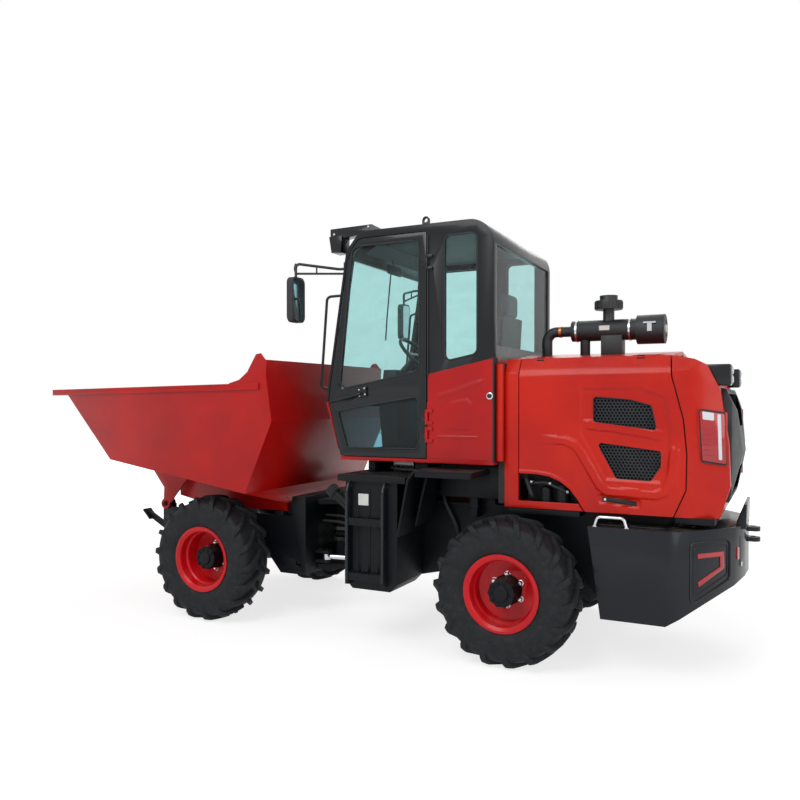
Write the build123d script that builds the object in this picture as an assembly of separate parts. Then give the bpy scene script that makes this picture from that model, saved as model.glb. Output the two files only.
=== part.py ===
from build123d import *
import math
import os

# Front-tip site dumper on an articulated loader chassis.
# Millimetres. X points forward to the skip, Y to the machine's left, Z up.
# Sub-parts are drawn with the rear axle over X = 0 and the ground at Z = 0.
# save() then shifts everything so that X = 0 is halfway along the machine.

os.makedirs("parts", exist_ok=True)

# ---- driving dimensions -------------------------------------------------
wheelbase = 2436
track = 1520
tyre_r = 482.5
tyre_w = 310
bead_r = 228
flange_r = 252
rim_w = 280
rear_disc_inset = 150
front_disc_inset = 190
hub_r = 84
hub_l = 130
spindle_r = 40
stud_pcd = 205

plate = 20
seat_gap = 0.3
run_gap = 6
pin_fit = 0.5
pin_r = 30
eye_pin_r = 16
tip_pin_r = 20

steer_deg = 30
tip_deg = 65

cab_half_w = 672
cab_rear_x = 125
cab_floor_z = 1280
cab_roof_z = 2935
cab_waist_x = 1434
cab_waist_z = 1706
cab_toe_x = 1306
cab_head_x = 1262
cab_head_z = 2800
cab_brow_x = 1150
cab_wall = 40
door_rear_x = 612
door_hinge_y = cab_half_w + 14

hood_half_w = 600
hood_skin = 25
hood_front_x = -28
cowl_front_x = 75
hood_rear_x = -985
hood_low_z = 1000
hood_crease_z = 1895
hood_edge_y = 535
hood_edge_z = 1990
hood_top_z = 2045
tail_gap = 8
hood_hinge_y = 526
hood_hinge_z = 1990
knuckle_r = 9
door_gap_line = [
    (-1002, hood_low_z), (-1073, 1166), (-1077, 1382), (-1056, 1598), (-988, 1859),
    (hood_rear_x + tail_gap, hood_edge_z),
]
grille_half_w = 424
grille_hinge_x = -1332
grille_hinge_y = 434

# Places of the front half, set off from the front axle.
pivot_x = wheelbase / 2
rear_end_x = pivot_x - 178
front_rear_x = wheelbase - 691
front_box_x = wheelbase - 566
ram_base_x = wheelbase - 556
ram_rod_x = wheelbase + 364
tip_pin_x = wheelbase + 729
tip_pin_z = 826

skip_half_w = 900
skip_t = 10

prop_z = 600
prop_r = 30
front_half_w = 480
rear_half_w = 430
frame_top_z = 985
frame_rear_x = -1010
shelf_z = 960
post_xs = (200, 900)
post_l = 80

tow_x = -1425
tow_z = 842
tow_t = 95
tow_r = 18.5
tow_cheek_r = 45

rear_reach = tow_cheek_r - tow_x
skip_front_x = tip_pin_x + 885
shift_x = (rear_reach - skip_front_x) / 2

eye_x = 660
eye_y = 585
eye_z = cab_roof_z + 45
eye_r = 28
eye_hole_r = 14
eye_t = 14
lash_x = wheelbase - 621
lash_z = 430
lash_r = 22
lash_y = front_half_w - plate / 2


# ---- helpers --------------------------------------------------------------
def block(x0, x1, y0, y1, z0, z1):
    """Box between two corners."""
    centre = ((x0 + x1) / 2, (y0 + y1) / 2, (z0 + z1) / 2)
    return Pos(*centre) * Box(abs(x1 - x0), abs(y1 - y0), abs(z1 - z0))


def slab(points, y0, y1):
    """Side-view outline (X, Z) extruded from Y = y0 to Y = y1."""
    wire = Polyline(*[(x, y0, z) for x, z in points], close=True)
    return extrude(make_face(wire), amount=y1 - y0, dir=(0, 1, 0))


def soft_slab(points, y0, y1, radii):
    """Side-view slab whose corners are rounded; radii lists (corner index, radius)."""
    face = make_face(Polyline(*[(x, y0, z) for x, z in points], close=True))
    for index, radius in radii:
        spot = Vector(points[index][0], y0, points[index][1])
        corner = min(face.vertices(), key=lambda v: (Vector(v.X, v.Y, v.Z) - spot).length)
        face = fillet(corner, radius)
    return extrude(face, amount=y1 - y0, dir=(0, 1, 0))


def deck(points, z0, z1):
    """Plan outline (X, Y) extruded from Z = z0 to Z = z1."""
    wire = Polyline(*[(x, y, z0) for x, y in points], close=True)
    return extrude(make_face(wire), amount=z1 - z0, dir=(0, 0, 1))


def bulkhead(points, x0, x1):
    """Cross-section outline (Y, Z) extruded from X = x0 to X = x1."""
    wire = Polyline(*[(x0, y, z) for y, z in points], close=True)
    return extrude(make_face(wire), amount=x1 - x0, dir=(1, 0, 0))


def rod(a, b, r):
    """Round bar between two points."""
    axis = Vector(*b) - Vector(*a)
    return extrude(Plane(origin=a, z_dir=axis) * Circle(r), amount=axis.length)


def tube_run(points, r, bend):
    """Round bar along straight runs joined by arcs of one bend radius."""
    path = FilletPolyline(*points, radius=bend)
    start = Vector(*points[0])
    way = Vector(*points[1]) - start
    return sweep(Plane(origin=start, z_dir=way) * Circle(r), path=path)


def across(shape):
    """Mirror image on the machine's other side."""
    return mirror(shape, about=Plane.XZ)


def both(shape):
    """A piece and its mirror image, as two solids."""
    return Compound(children=[shape, across(shape)])


def fuse(*shapes):
    """One shape from several that touch."""
    result = shapes[0]
    for shape in shapes[1:]:
        result = result + shape
    return result


def cut(body, *tools):
    """A body less several tools."""
    for tool in tools:
        body = body - tool
    return body


def save(name, *shapes):
    """Write one sub-part, moved to the machine's own origin."""
    solids = [s for shape in shapes for s in shape.solids()]
    moved = [Pos(shift_x, 0, 0) * s for s in solids]
    whole = moved[0] if len(moved) == 1 else Compound(children=moved)
    whole.label = name
    export_step(whole, f"parts/{name}.step")


# ---- wheels ---------------------------------------------------------------
bead_half = rim_w / 2 - 8 - seat_gap
tyre_half = tyre_w / 2


tyre_sides = 18
lug_h = 38
lug_root = 10
lug_offset = 14
crown_half = tyre_half - 14
tread_floor_r = tyre_r - lug_h
side_wall = 30


def polygon(r, y):
    """Regular polygon about the wheel's axis, its flats at radius r."""
    half = math.pi / tyre_sides
    tip_r = r / math.cos(half)
    corners = [half * (2 * i + 1) for i in range(tyre_sides)]
    wire = Polyline(*[(tip_r * math.sin(a), y, tip_r * math.cos(a)) for a in corners], close=True)
    return make_face(wire)


def rings(stations):
    """Ruled solid through polygons; stations lists (y, radius of the flats)."""
    bands = [
        loft([polygon(near_r, near_y), polygon(far_r, far_y)], ruled=True)
        for (near_y, near_r), (far_y, far_r) in zip(stations, stations[1:])
    ]
    return fuse(*bands)


def lug(side):
    """Tread lug at the top of the tyre, swept back from the middle to one shoulder."""
    shift = -side * lug_offset
    plan = [
        (shift - 56, side * 4), (shift - 12, side * 4), (shift + 56, side * (crown_half - 2)),
        (shift + 2, side * (crown_half - 2)),
    ]
    return deck(plan, tread_floor_r - lug_root, tyre_r)


def tyre():
    """Hollow lug tyre about the Y axis, one lug to each shoulder on every flat."""
    bulge_r = bead_r + 0.45 * (tyre_r - bead_r)
    half = [(tyre_half, bulge_r), (tyre_half - 3, tread_floor_r - 55), (crown_half, tread_floor_r)]
    stations = [(-y, r) for y, r in half] + [(y, r) for y, r in reversed(half)]
    bore = extrude(polygon(bead_r + seat_gap, -tyre_half), amount=tyre_w, dir=(0, 1, 0))
    room_half = tyre_half - side_wall
    room = extrude(polygon(tread_floor_r - 40, -room_half), amount=2 * room_half, dir=(0, 1, 0))
    dish = loft([polygon(flange_r + 4, bead_half), polygon(bulge_r - 2, tyre_half + 1)], ruled=True)
    body = cut(rings(stations), bore, room, dish, across(dish))
    for i in range(tyre_sides):
        turn = Rot(0, 360 / tyre_sides * i, 0)
        for side in (1, -1):
            body = body + turn * lug(side)
    return body


def rim(inset):
    """Dished rim with its disc, planetary hub and studs, outer side towards +Y."""
    h = rim_w / 2
    outside = [
        (h, flange_r), (h - 8, flange_r), (h - 8, bead_r), (62, bead_r - 3), (52, bead_r - 16),
        (-52, bead_r - 16), (-62, bead_r - 3), (8 - h, bead_r), (8 - h, flange_r), (-h, flange_r),
    ]
    inside = [
        (-h, bead_r + 8), (14 - h, bead_r - 14), (-66, bead_r - 18), (-56, bead_r - 30),
        (56, bead_r - 30), (66, bead_r - 18), (h - 14, bead_r - 14), (h, bead_r + 8),
    ]
    face = make_face(Polyline(*[(0, y, r) for y, r in outside + inside], close=True))
    barrel = revolve(face, axis=Axis.Y, revolution_arc=360)
    disc_y = h - inset
    disc_r = bead_r - 24
    disc = rod((0, disc_y - 14, 0), (0, disc_y, 0), disc_r)
    hub = rod((0, disc_y - 14, 0), (0, disc_y + hub_l, 0), hub_r)
    bore = rod((0, disc_y - 20, 0), (0, disc_y + hub_l - 30, 0), spindle_r + pin_fit)
    body = cut(fuse(barrel, disc, hub), bore)
    for i in range(6):
        a = math.radians(60 * i + 30)
        x = stud_pcd / 2 * math.cos(a)
        z = stud_pcd / 2 * math.sin(a)
        body = body + rod((x, disc_y - 5, z), (x, disc_y + 28, z), 11)
    return body


def make_wheels():
    """Four wheels, each a tyre and a rim."""
    corners = [
        ("rear", "left", 0, 1, rear_disc_inset), ("rear", "right", 0, -1, rear_disc_inset),
        ("front", "left", wheelbase, 1, front_disc_inset),
        ("front", "right", wheelbase, -1, front_disc_inset),
    ]
    plain_tyre = tyre()
    for end, hand, x, side, inset in corners:
        place = Pos(x, side * track / 2, tyre_r)
        wheel = rim(inset)
        rubber = plain_tyre
        if side < 0:
            wheel = across(wheel)
            rubber = across(rubber)
        save(f"{end}_{hand}_tyre", place * rubber)
        save(f"{end}_{hand}_rim", place * wheel)


# ---- axles and driveline ----------------------------------------------------
def axle(x, inset, pad_z, pad_y):
    """Axle case with differential, spindles and pads up to the frame."""
    disc_back = track / 2 + rim_w / 2 - inset - 14
    case = rod((x, -disc_back + 60, tyre_r), (x, disc_back - 60, tyre_r), 70)
    diff = Pos(x, 0, tyre_r) * Sphere(diff_r)
    nose_way = 1 if x == 0 else -1
    nose = rod((x, 0, tyre_r), (x + nose_way * diff_nose_l, 0, tyre_r), 65)
    body = fuse(case, diff, nose)
    for side in (1, -1):
        drum = rod((x, side * (disc_back - 120), tyre_r), (x, side * (disc_back - seat_gap), tyre_r), 105)
        spindle = rod((x, side * (disc_back - 20), tyre_r), (x, side * (disc_back + 100), tyre_r), spindle_r)
        body = fuse(body, drum, spindle)
        pad = block(x - 70, x + 70, side * (pad_y - 60), side * pad_y, tyre_r + 20, pad_z)
        body = body + pad
    return body


engine_half_w = 240
engine_rear_x = -860
engine_front_x = -1
engine_low_z = 720
engine_high_z = 1480
diff_r = 150
diff_nose_l = 260
converter_r = 230
converter_z = 900
gearbox_rear_x = 150
gearbox_front_x = 640
gearbox_half_w = 210
gearbox_low_z = 640
gearbox_high_z = 1140
drop_rear_x = 600
drop_front_x = 830
drop_half_w = 160
drop_low_z = 430
yoke_r = 42


def transmission():
    """Gearbox under the cab, its drop case and the two prop shafts on this half."""
    gearbox = block(
        gearbox_rear_x, gearbox_front_x, -gearbox_half_w, gearbox_half_w, gearbox_low_z, gearbox_high_z)
    bell = rod((0, 0, converter_z), (gearbox_rear_x + 10, 0, converter_z), converter_r)
    drop = block(drop_rear_x, drop_front_x, -drop_half_w, drop_half_w, drop_low_z, converter_z)
    shaft_x = diff_nose_l + seat_gap
    rear_shaft = rod((shaft_x, 0, tyre_r), (drop_rear_x + 10, 0, tyre_r), prop_r)
    rear_flange = rod((shaft_x, 0, tyre_r), (diff_nose_l + plate, 0, tyre_r), prop_r * 2)
    front_shaft = rod((drop_front_x - 10, 0, prop_z), (pivot_x - 35, 0, prop_z), prop_r)
    front_yoke = rod((pivot_x - 75, 0, prop_z), (pivot_x - 20, 0, prop_z), yoke_r)
    inside = rear_half_w - plate - seat_gap
    arms = block(380, 460, -inside, inside, 760, 820)
    return fuse(gearbox, bell, drop, rear_shaft, rear_flange, front_shaft, front_yoke, arms)


def engine_block():
    """Engine as one plain block on its bearers."""
    return block(
        engine_rear_x, engine_front_x, -engine_half_w, engine_half_w, engine_low_z, engine_high_z)


# ---- rear frame ---------------------------------------------------------------
hinge_low_z = 360
hinge_high_z = 880
ear_t = 25
tongue_t = 40
tongue_clear = 2
steer_z = 470
steer_base_x = pivot_x - 133
steer_base_y = 220
steer_rod_x = wheelbase - 776
steer_rod_y = 300
steer_eye_r = 36
steer_eye_w = 44
ram_base_z = 450
ram_rod_z = 780
ram_y = 200
ram_eye_r = 42
ram_eye_w = 50
lug_t = 20
lug_clear = 6


def rear_frame():
    """Side plates, cross plates, outriggers and the hinge ears of the rear half."""
    w = rear_half_w
    side_shape = [
        (frame_rear_x, 360), (-560, 360), (-380, 560), (250, 560), (420, 520), (rear_end_x, 380),
        (rear_end_x, frame_top_z), (frame_rear_x, frame_top_z),
    ]
    left = slab(side_shape, w - plate, w)
    body = fuse(left, across(left))
    cross_plates = [
        (frame_rear_x, 360, frame_top_z), (-480, 620, 700), (rear_end_x - 160, 660, frame_top_z),
        (rear_end_x - plate, 380, frame_top_z),
    ]
    for x, low, high in cross_plates:
        body = body + block(x, x + plate, -w + 5, w - 5, low, high)
    wing = hood_half_w - 10
    wing_x = door_gap_line[0][0] - tail_gap - 4
    shelf = deck([
        (-1240, -wing), (wing_x, -wing), (wing_x, -w), (-1000, -w), (-1000, w), (wing_x, w),
        (wing_x, wing), (-1240, wing)], shelf_z, hood_low_z - seat_gap)
    body = body + shelf
    for z in (hinge_low_z, hinge_high_z):
        under = z - tongue_clear - ear_t
        over = z + tongue_t + tongue_clear
        for low in (under, over):
            ear = block(rear_end_x - 10, pivot_x, -110, 110, low, low + ear_t)
            ear = ear + rod((pivot_x, 0, low), (pivot_x, 0, low + ear_t), 70)
            body = body + ear
        body = body + rod((pivot_x, 0, under - 15), (pivot_x, 0, over + ear_t + 15), pin_r)
    body = body - rod((rear_end_x - 2 * plate, 0, prop_z), (rear_end_x + plate, 0, prop_z), prop_r + 30)
    for side in (1, -1):
        for post_x in post_xs:
            body = body + block(
                post_x, post_x + post_l, side * (w - 90), side * w, frame_top_z - 5, cab_floor_z - seat_gap)
        rail = block(-430, 50, side * (w - 5), side * (hood_half_w - 10), shelf_z, hood_low_z - seat_gap)
        bearer = block(-820, -100, side * (engine_half_w + seat_gap), side * (w - plate + 5), 740, 790)
        body = fuse(body, rail, bearer)
        y = side * steer_base_y
        low_lug = steer_z - steer_eye_w / 2 - lug_clear - lug_t
        high_lug = steer_z + steer_eye_w / 2 + lug_clear
        for low in (low_lug, high_lug):
            lug = block(rear_end_x - 10, steer_base_x, y - 40, y + 40, low, low + lug_t)
            lug = lug + rod((steer_base_x, y, low), (steer_base_x, y, low + lug_t), 40)
            body = body + lug
        body = body + rod((steer_base_x, y, low_lug), (steer_base_x, y, high_lug + lug_t + 8), eye_pin_r)
    return body


def make_cylinder(name, a, b, pin_axis, bore_r, rod_r, eye, barrel_short, rod_short):
    """Hydraulic cylinder from base eye a to rod eye b; barrel and rod are each that much shorter."""
    ring_r, ring_w = eye
    start = Vector(*a)
    end = Vector(*b)
    span = (end - start).length
    barrel_l = span - barrel_short
    way = (end - start).normalized()
    turn = Vector(*pin_axis)

    def along(distance):
        return tuple(start + way * distance)

    def ring(centre):
        low = tuple(centre - turn * (ring_w / 2))
        high = tuple(centre + turn * (ring_w / 2))
        return rod(low, high, ring_r), rod(low, high, eye_pin_r + pin_fit)

    base_ring, base_hole = ring(start)
    neck = rod(along(0), along(ring_r + 18), ring_w / 2 - 3)
    tube = rod(along(ring_r + 16), along(barrel_l), bore_r)
    gland = rod(along(barrel_l - 35), along(barrel_l), bore_r + 4)
    bore = rod(along(ring_r + 36), along(barrel_l + 1), rod_r + pin_fit)
    save(f"{name}_barrel", cut(fuse(tube, gland, neck, base_ring), base_hole, bore))
    rod_ring, rod_hole = ring(end)
    piston_rod = rod(along(rod_short), along(span), rod_r)
    save(f"{name}_rod", cut(fuse(piston_rod, rod_ring), rod_hole))


def make_cylinders():
    """Two steering cylinders and two tipping rams."""
    steer_eye = (steer_eye_r, steer_eye_w)
    ram_eye = (ram_eye_r, ram_eye_w)
    for hand, side in (("left", 1), ("right", -1)):
        base = (steer_base_x, side * steer_base_y, steer_z)
        tip = (steer_rod_x, side * steer_rod_y, steer_z)
        make_cylinder(f"steer_{hand}", base, tip, (0, 0, 1), 34, 18, steer_eye, 180, 212)
        base = (ram_base_x, side * ram_y, ram_base_z)
        tip = (ram_rod_x, side * ram_y, ram_rod_z)
        make_cylinder(f"tip_{hand}", base, tip, (0, 1, 0), 50, 26, ram_eye, 132, 117)


# ---- front frame -----------------------------------------------------------------
rest_z = 830
box_low_z = 345
box_top_z = 956


def ram_lug_places(side):
    """Y ranges of the two lugs on either side of one ram's eye."""
    inner = ram_eye_w / 2 + lug_clear
    return [
        (side * ram_y + way * inner, side * ram_y + way * (inner + lug_t)) for way in (-1, 1)
    ]


def front_frame():
    """Box frame under the skip, its hinge tongues, tip pin bosses and tip stops."""
    w = front_half_w
    nose_x = tip_pin_x + 45
    floor_end_x = wheelbase - 456
    side_shape = [
        (front_rear_x, box_low_z), (floor_end_x, box_low_z), (wheelbase - 256, 580), (wheelbase + 284, 580),
        (tip_pin_x - 265, 560), (nose_x - 90, 560), (nose_x, 640), (nose_x, 800), (front_box_x, 800),
        (front_box_x, box_top_z), (front_rear_x, box_top_z),
    ]
    left = slab(side_shape, w - plate, w)
    left = left - rod((lash_x, w - plate - 5, lash_z), (lash_x, w + 5, lash_z), lash_r)
    body = fuse(left, across(left))
    cross_members = [
        (front_rear_x, front_rear_x + plate, box_low_z, box_top_z),
        (front_rear_x, front_box_x, box_top_z - plate, box_top_z),
        (front_box_x - plate, front_box_x, 640, box_top_z),
        (front_rear_x, floor_end_x, box_low_z, box_low_z + plate),
        (nose_x - 90, nose_x, 600, 700), (wheelbase + 164, wheelbase + 204, 585, 635),
    ]
    for x0, x1, z0, z1 in cross_members:
        body = body + block(x0, x1, -w + 5, w - 5, z0, z1)
    web = block(pivot_x + 202, front_rear_x + 5, -12, 12, hinge_low_z + 5, hinge_high_z + 5)
    body = body + web
    for z in (hinge_low_z, hinge_high_z):
        tongue = deck([
            (pivot_x, -70), (pivot_x + 110, -75), (front_rear_x + 5, -300),
            (front_rear_x + 5, 300), (pivot_x + 110, 75), (pivot_x, 70),
        ], z, z + tongue_t)
        tongue = tongue + rod((pivot_x, 0, z), (pivot_x, 0, z + tongue_t), 70)
        tongue = tongue - rod((pivot_x, 0, z - 5), (pivot_x, 0, z + tongue_t + 5), pin_r + pin_fit)
        body = body + tongue
    body = body - rod((pivot_x + 182, 0, prop_z), (front_rear_x + plate + 5, 0, prop_z), prop_r + 30)
    bearing_x = front_rear_x + plate
    bearing = rod((front_rear_x, 0, prop_z), (bearing_x, 0, prop_z), prop_r + 35)
    shaft = rod((pivot_x + 35, 0, prop_z), (bearing_x + 20, 0, prop_z), prop_r)
    yoke = rod((pivot_x + 20, 0, prop_z), (pivot_x + 75, 0, prop_z), yoke_r)
    flange_x = wheelbase - diff_nose_l
    tail_shaft = rod((bearing_x + 15, 0, prop_z), (flange_x - 2, 0, tyre_r + 1), prop_r)
    tail_shaft = tail_shaft - block(flange_x - seat_gap, wheelbase, -80, 80, 300, 700)
    body = fuse(body, bearing, shaft, yoke, tail_shaft)
    for side in (1, -1):
        y = side * steer_rod_y
        low_lug = steer_z - steer_eye_w / 2 - lug_clear - lug_t
        high_lug = steer_z + steer_eye_w / 2 + lug_clear
        for low in (low_lug, high_lug):
            lug = block(steer_rod_x, front_rear_x + 5, y - 40, y + 40, low, low + lug_t)
            lug = lug + rod((steer_rod_x, y, low), (steer_rod_x, y, low + lug_t), 40)
            body = body + lug
        body = body + rod((steer_rod_x, y, high_lug + 5), (steer_rod_x, y, high_lug + lug_t + 8), eye_pin_r)
        for y0, y1 in ram_lug_places(side):
            lug = block(front_rear_x + 5, ram_base_x, y0, y1, 355, ram_base_z + ram_eye_r)
            lug = lug + rod((ram_base_x, y0, ram_base_z), (ram_base_x, y1, ram_base_z), ram_eye_r)
            body = body + lug
        span = ram_eye_w / 2 + lug_clear + lug_t
        pin_a = (ram_base_x, side * ram_y - span, ram_base_z)
        pin_b = (ram_base_x, side * ram_y + span, ram_base_z)
        body = body + rod(pin_a, pin_b, eye_pin_r)
        boss = block(nose_x - 100, nose_x, side * (w - 55), side * w, 700, tip_pin_z)
        boss = boss + rod((tip_pin_x, side * (w - 55), tip_pin_z), (tip_pin_x, side * w, tip_pin_z), 45)
        tip_pin = rod(
            (tip_pin_x, side * (w - 60), tip_pin_z), (tip_pin_x, side * (w + 40), tip_pin_z), tip_pin_r)
        rest = block(
            wheelbase - 476, wheelbase - 396, side * (w - 80), side * (w - 5), 780, rest_z - seat_gap)
        arm = slab([
            (nose_x - 20, 600), (nose_x + 20, 560), (nose_x + 230, 670), (nose_x + 260, 720),
            (nose_x + 220, 720)], side * 370, side * 390)
        head = Pos(nose_x + 252, side * 380, 706) * Rot(0, 45, 0) * Box(16, 90, 110)
        body = fuse(body, boss, tip_pin, rest, arm, head)
    return body


# ---- skip ---------------------------------------------------------------------------
skip_lip = (tip_pin_x + 228, 1225)
skip_heel = (tip_pin_x - 1157, 1013)
skip_back = (tip_pin_x - 1401, 1558)
skip_fold = (tip_pin_x - 1353, 1893)
skip_crest = (tip_pin_x - 1359, 2013)
skip_nose = (tip_pin_x + 718, 1756)
well_rear_x = tip_pin_x - 1240
well_front_x = tip_pin_x - 45
well_z = 900
well_half_w = 480
rim_rear_x = tip_pin_x - 1295
rim_rear_z = 1842
rim_front_z = 1804
rim_t = 48
lip_l = 190


def hopper(side_inset, t):
    """Upper and lower hopper as one solid; t pulls every wall in."""
    w = skip_half_w - side_inset
    top = 2100
    nose_dx = (top - skip_nose[1]) * (skip_nose[0] - skip_lip[0]) / (skip_nose[1] - skip_lip[1])
    shape = [
        (skip_nose[0] + nose_dx - t * 1.4, top), (skip_lip[0] - t * 1.2, skip_lip[1]),
        (skip_heel[0] + t * 1.1, skip_heel[1]), (skip_back[0] + t * 1.1, skip_back[1]),
        (skip_fold[0] + t, skip_fold[1]), (skip_crest[0] + t, skip_crest[1]),
        (skip_crest[0] + t, top),
    ]
    upper = slab(shape, -w, w)
    slope = (skip_lip[1] - skip_heel[1]) / (skip_lip[0] - skip_heel[0])
    way = Vector(1, 0, slope).normalized()
    up = Vector(-way.Z, 0, way.X)
    a = Vector(skip_heel[0] + t * 1.1, 0, skip_heel[1] + t * 1.1 * slope)
    b = Vector(skip_lip[0] - t * 1.2, 0, skip_lip[1] - t * 1.2 * slope)
    c = Vector(well_rear_x + t * 1.2, 0, well_z + t * 1.2 * slope) + up * t
    well_l = well_front_x - well_rear_x - t * 1.2
    d = Vector(well_front_x - t * 1.2, 0, well_z + slope * well_l) + up * t
    lift = up * 2
    top_middle = (a + b) * 0.5 + lift * (1 if t > 0 else 0)
    top_plane = Plane(origin=tuple(top_middle), x_dir=tuple(way), z_dir=tuple(up))
    low_plane = Plane(origin=tuple((c + d) * 0.5), x_dir=tuple(way), z_dir=tuple(up))
    top_face = top_plane * Rectangle((b - a).length, 2 * w)
    low_face = low_plane * Rectangle((d - c).length, 2 * (well_half_w - side_inset * 1.1))
    lower = loft([low_face, top_face], ruled=True)
    return upper, lower


def skip():
    """Forward-tipping skip with its rim, gussets, rails, ears and ram lugs."""
    w = skip_half_w
    upper, lower = hopper(0, 0)
    in_upper, in_lower = hopper(skip_t, skip_t)
    shell = fuse(upper, lower)
    side_top = slab([
        (skip_fold[0] + skip_t + 4, rim_rear_z - 6), (skip_front_x + 200, rim_front_z - 6),
        (skip_front_x + 200, 2300), (skip_fold[0] + skip_t + 4, 2300)], -w - 50, w + 50)
    crest_top = block(skip_crest[0] - 200, skip_crest[0] + 400, -w - 50, w + 50, skip_crest[1], 2300)
    shell = cut(shell, in_upper, in_lower, side_top, crest_top)
    slope = (rim_rear_z - rim_front_z) / (skip_front_x - rim_rear_x)
    rim_low = [(rim_rear_x, rim_rear_z - rim_t), (skip_front_x, rim_front_z - rim_t)]
    rim_high = [(skip_front_x, rim_front_z), (rim_rear_x, rim_rear_z)]
    rail = slab(rim_low + rim_high, w - 30, w + 20)
    lip_x = skip_front_x - lip_l
    front_low = [(lip_x, rim_front_z - rim_t + slope * lip_l), (skip_front_x, rim_front_z - rim_t)]
    front_high = [(skip_front_x, rim_front_z), (lip_x, rim_front_z + slope * lip_l)]
    front_lip = slab(front_low + front_high, -w - 20, w + 20)
    body = cut(fuse(shell, front_lip), in_upper)
    body = fuse(body, rail, across(rail))
    fin_x = skip_fold[0] + skip_t
    for side in (1, -1):
        y0 = side * (w - skip_t)
        y1 = side * w
        gusset = slab([
            (fin_x, 1800), (fin_x + 338, 1800), (fin_x + 335, rim_rear_z), (fin_x + 238, 1868),
            (fin_x + 163, 1925), (fin_x + 113, 2005), (fin_x + 81, 2055), (fin_x + 38, 2062),
            (fin_x - 6, 2011)], y0, y1)
        body = body + gusset
        ear_y0 = side * (front_half_w + run_gap)
        ear_y1 = side * (front_half_w + run_gap + plate)
        ear = slab([
            (tip_pin_x - 45, tip_pin_z), (tip_pin_x + 20, tip_pin_z), (tip_pin_x + 13, 965),
            (tip_pin_x + 165, 1150), (tip_pin_x - 265, 1075), (tip_pin_x - 105, 900)], ear_y0, ear_y1)
        ear = ear + rod((tip_pin_x, ear_y0, tip_pin_z), (tip_pin_x, ear_y1, tip_pin_z), 45)
        hole_a = (tip_pin_x, ear_y0 - side * 5, tip_pin_z)
        hole_b = (tip_pin_x, ear_y1 + side * 5, tip_pin_z)
        ear = ear - rod(hole_a, hole_b, tip_pin_r + pin_fit)
        body = body + cut(ear, in_lower, in_upper)
        runner = slab([
            (well_rear_x + 25, rest_z), (well_front_x - 420, rest_z), (well_front_x - 60, well_z),
            (well_front_x - 60, 1110), (well_rear_x + 25, 940)], side * 395, side * 435)
        body = body + cut(runner, in_lower, in_upper)
        for y_near, y_far in ram_lug_places(side):
            lug = slab([
                (ram_rod_x - 60, 1060), (ram_rod_x - ram_eye_r, ram_rod_z),
                (ram_rod_x + ram_eye_r, ram_rod_z), (ram_rod_x + 60, 1080)], y_near, y_far)
            lug = lug + rod((ram_rod_x, y_near, ram_rod_z), (ram_rod_x, y_far, ram_rod_z), ram_eye_r)
            head = y_far + (y_far - y_near) / 2
            pin = rod((ram_rod_x, y_far, ram_rod_z), (ram_rod_x, head, ram_rod_z), eye_pin_r)
            body = fuse(body, cut(lug, in_lower, in_upper), pin)
    return body


# ---- cab ------------------------------------------------------------------------------
cab_back_r = 180
cab_brow_r = 60
cab_shape = [
    (cab_rear_x, cab_floor_z), (cab_toe_x, cab_floor_z), (cab_waist_x, cab_waist_z),
    (cab_head_x, cab_head_z), (cab_brow_x, cab_roof_z), (cab_rear_x, cab_roof_z),
]
cab_corner_rs = [(4, cab_brow_r), (5, cab_back_r)]
grab_r = 10
grab_high_reach = 95
grab_low_reach = 38  # keeps clear of the skip's rear wall at full steering
grab_root = 8  # ends inside the pillar, short of the doorway


def inset_outline(points, amount):
    """Closed outline (X, Z) pulled inwards by an amount, or outwards if it is negative."""
    count = len(points)
    area = sum(points[i - 1][0] * points[i][1] - points[i][0] * points[i - 1][1] for i in range(count))
    inward = 1 if area > 0 else -1
    moved = []
    for i in range(count):
        before = Vector(*points[i]) - Vector(*points[i - 1])
        after = Vector(*points[(i + 1) % count]) - Vector(*points[i])
        left_before = before.normalized().rotate(Axis.Z, 90)
        left_after = after.normalized().rotate(Axis.Z, 90)
        bisector = (left_before + left_after).normalized()
        reach = inward * amount / max(bisector.dot(left_before), 0.2)
        corner = Vector(*points[i]) + bisector * reach
        moved.append((corner.X, corner.Y))
    return moved


def front_strip(low, high, margin, outer, depth):
    """Side outline of a straight strip of the cab's front between two of its corners."""
    line = (Vector(*high) - Vector(*low)).normalized()
    outward = line.rotate(Axis.Z, -90)
    start = Vector(*low) + line * margin
    stop = Vector(*high) - line * margin
    corners = [
        start + outward * outer, stop + outward * outer,
        stop - outward * depth, start - outward * depth]
    return [(corner.X, corner.Y) for corner in corners]


door_hinge_zs = (1475, 1598, 2666)
door_handle = [(1384, 1703), (1127, 1761)]
door_handle_r = 12
door_shape = [
    (door_rear_x + 8, cab_floor_z + 30), (cab_toe_x + 5, cab_floor_z + 30), (cab_waist_x - 22, cab_waist_z),
    (1250, 2730), (1170, 2880), (door_rear_x + 8, 2880),
]
door_head_r = 90
upper_pane = [(675, 1915), (1325, 1792), (1212, 2828), (675, 2828)]
upper_pane_rs = [30, 30, 90, 30]
lower_pane = [(682, 1374), (1262, 1368), (1342, 1637), (680, 1741)]
lower_pane_rs = [30, 30, 30, 30]
screen_half_w = cab_half_w - 70
screen_margin = 55
glass_setback = 14
rear_pane_low_z = 2085
rear_pane_high_z = 2760
quarter_pane = [(243, 2027), (484, 1979), (484, 2842), (243, 2842)]
quarter_pane_r = 45


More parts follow.
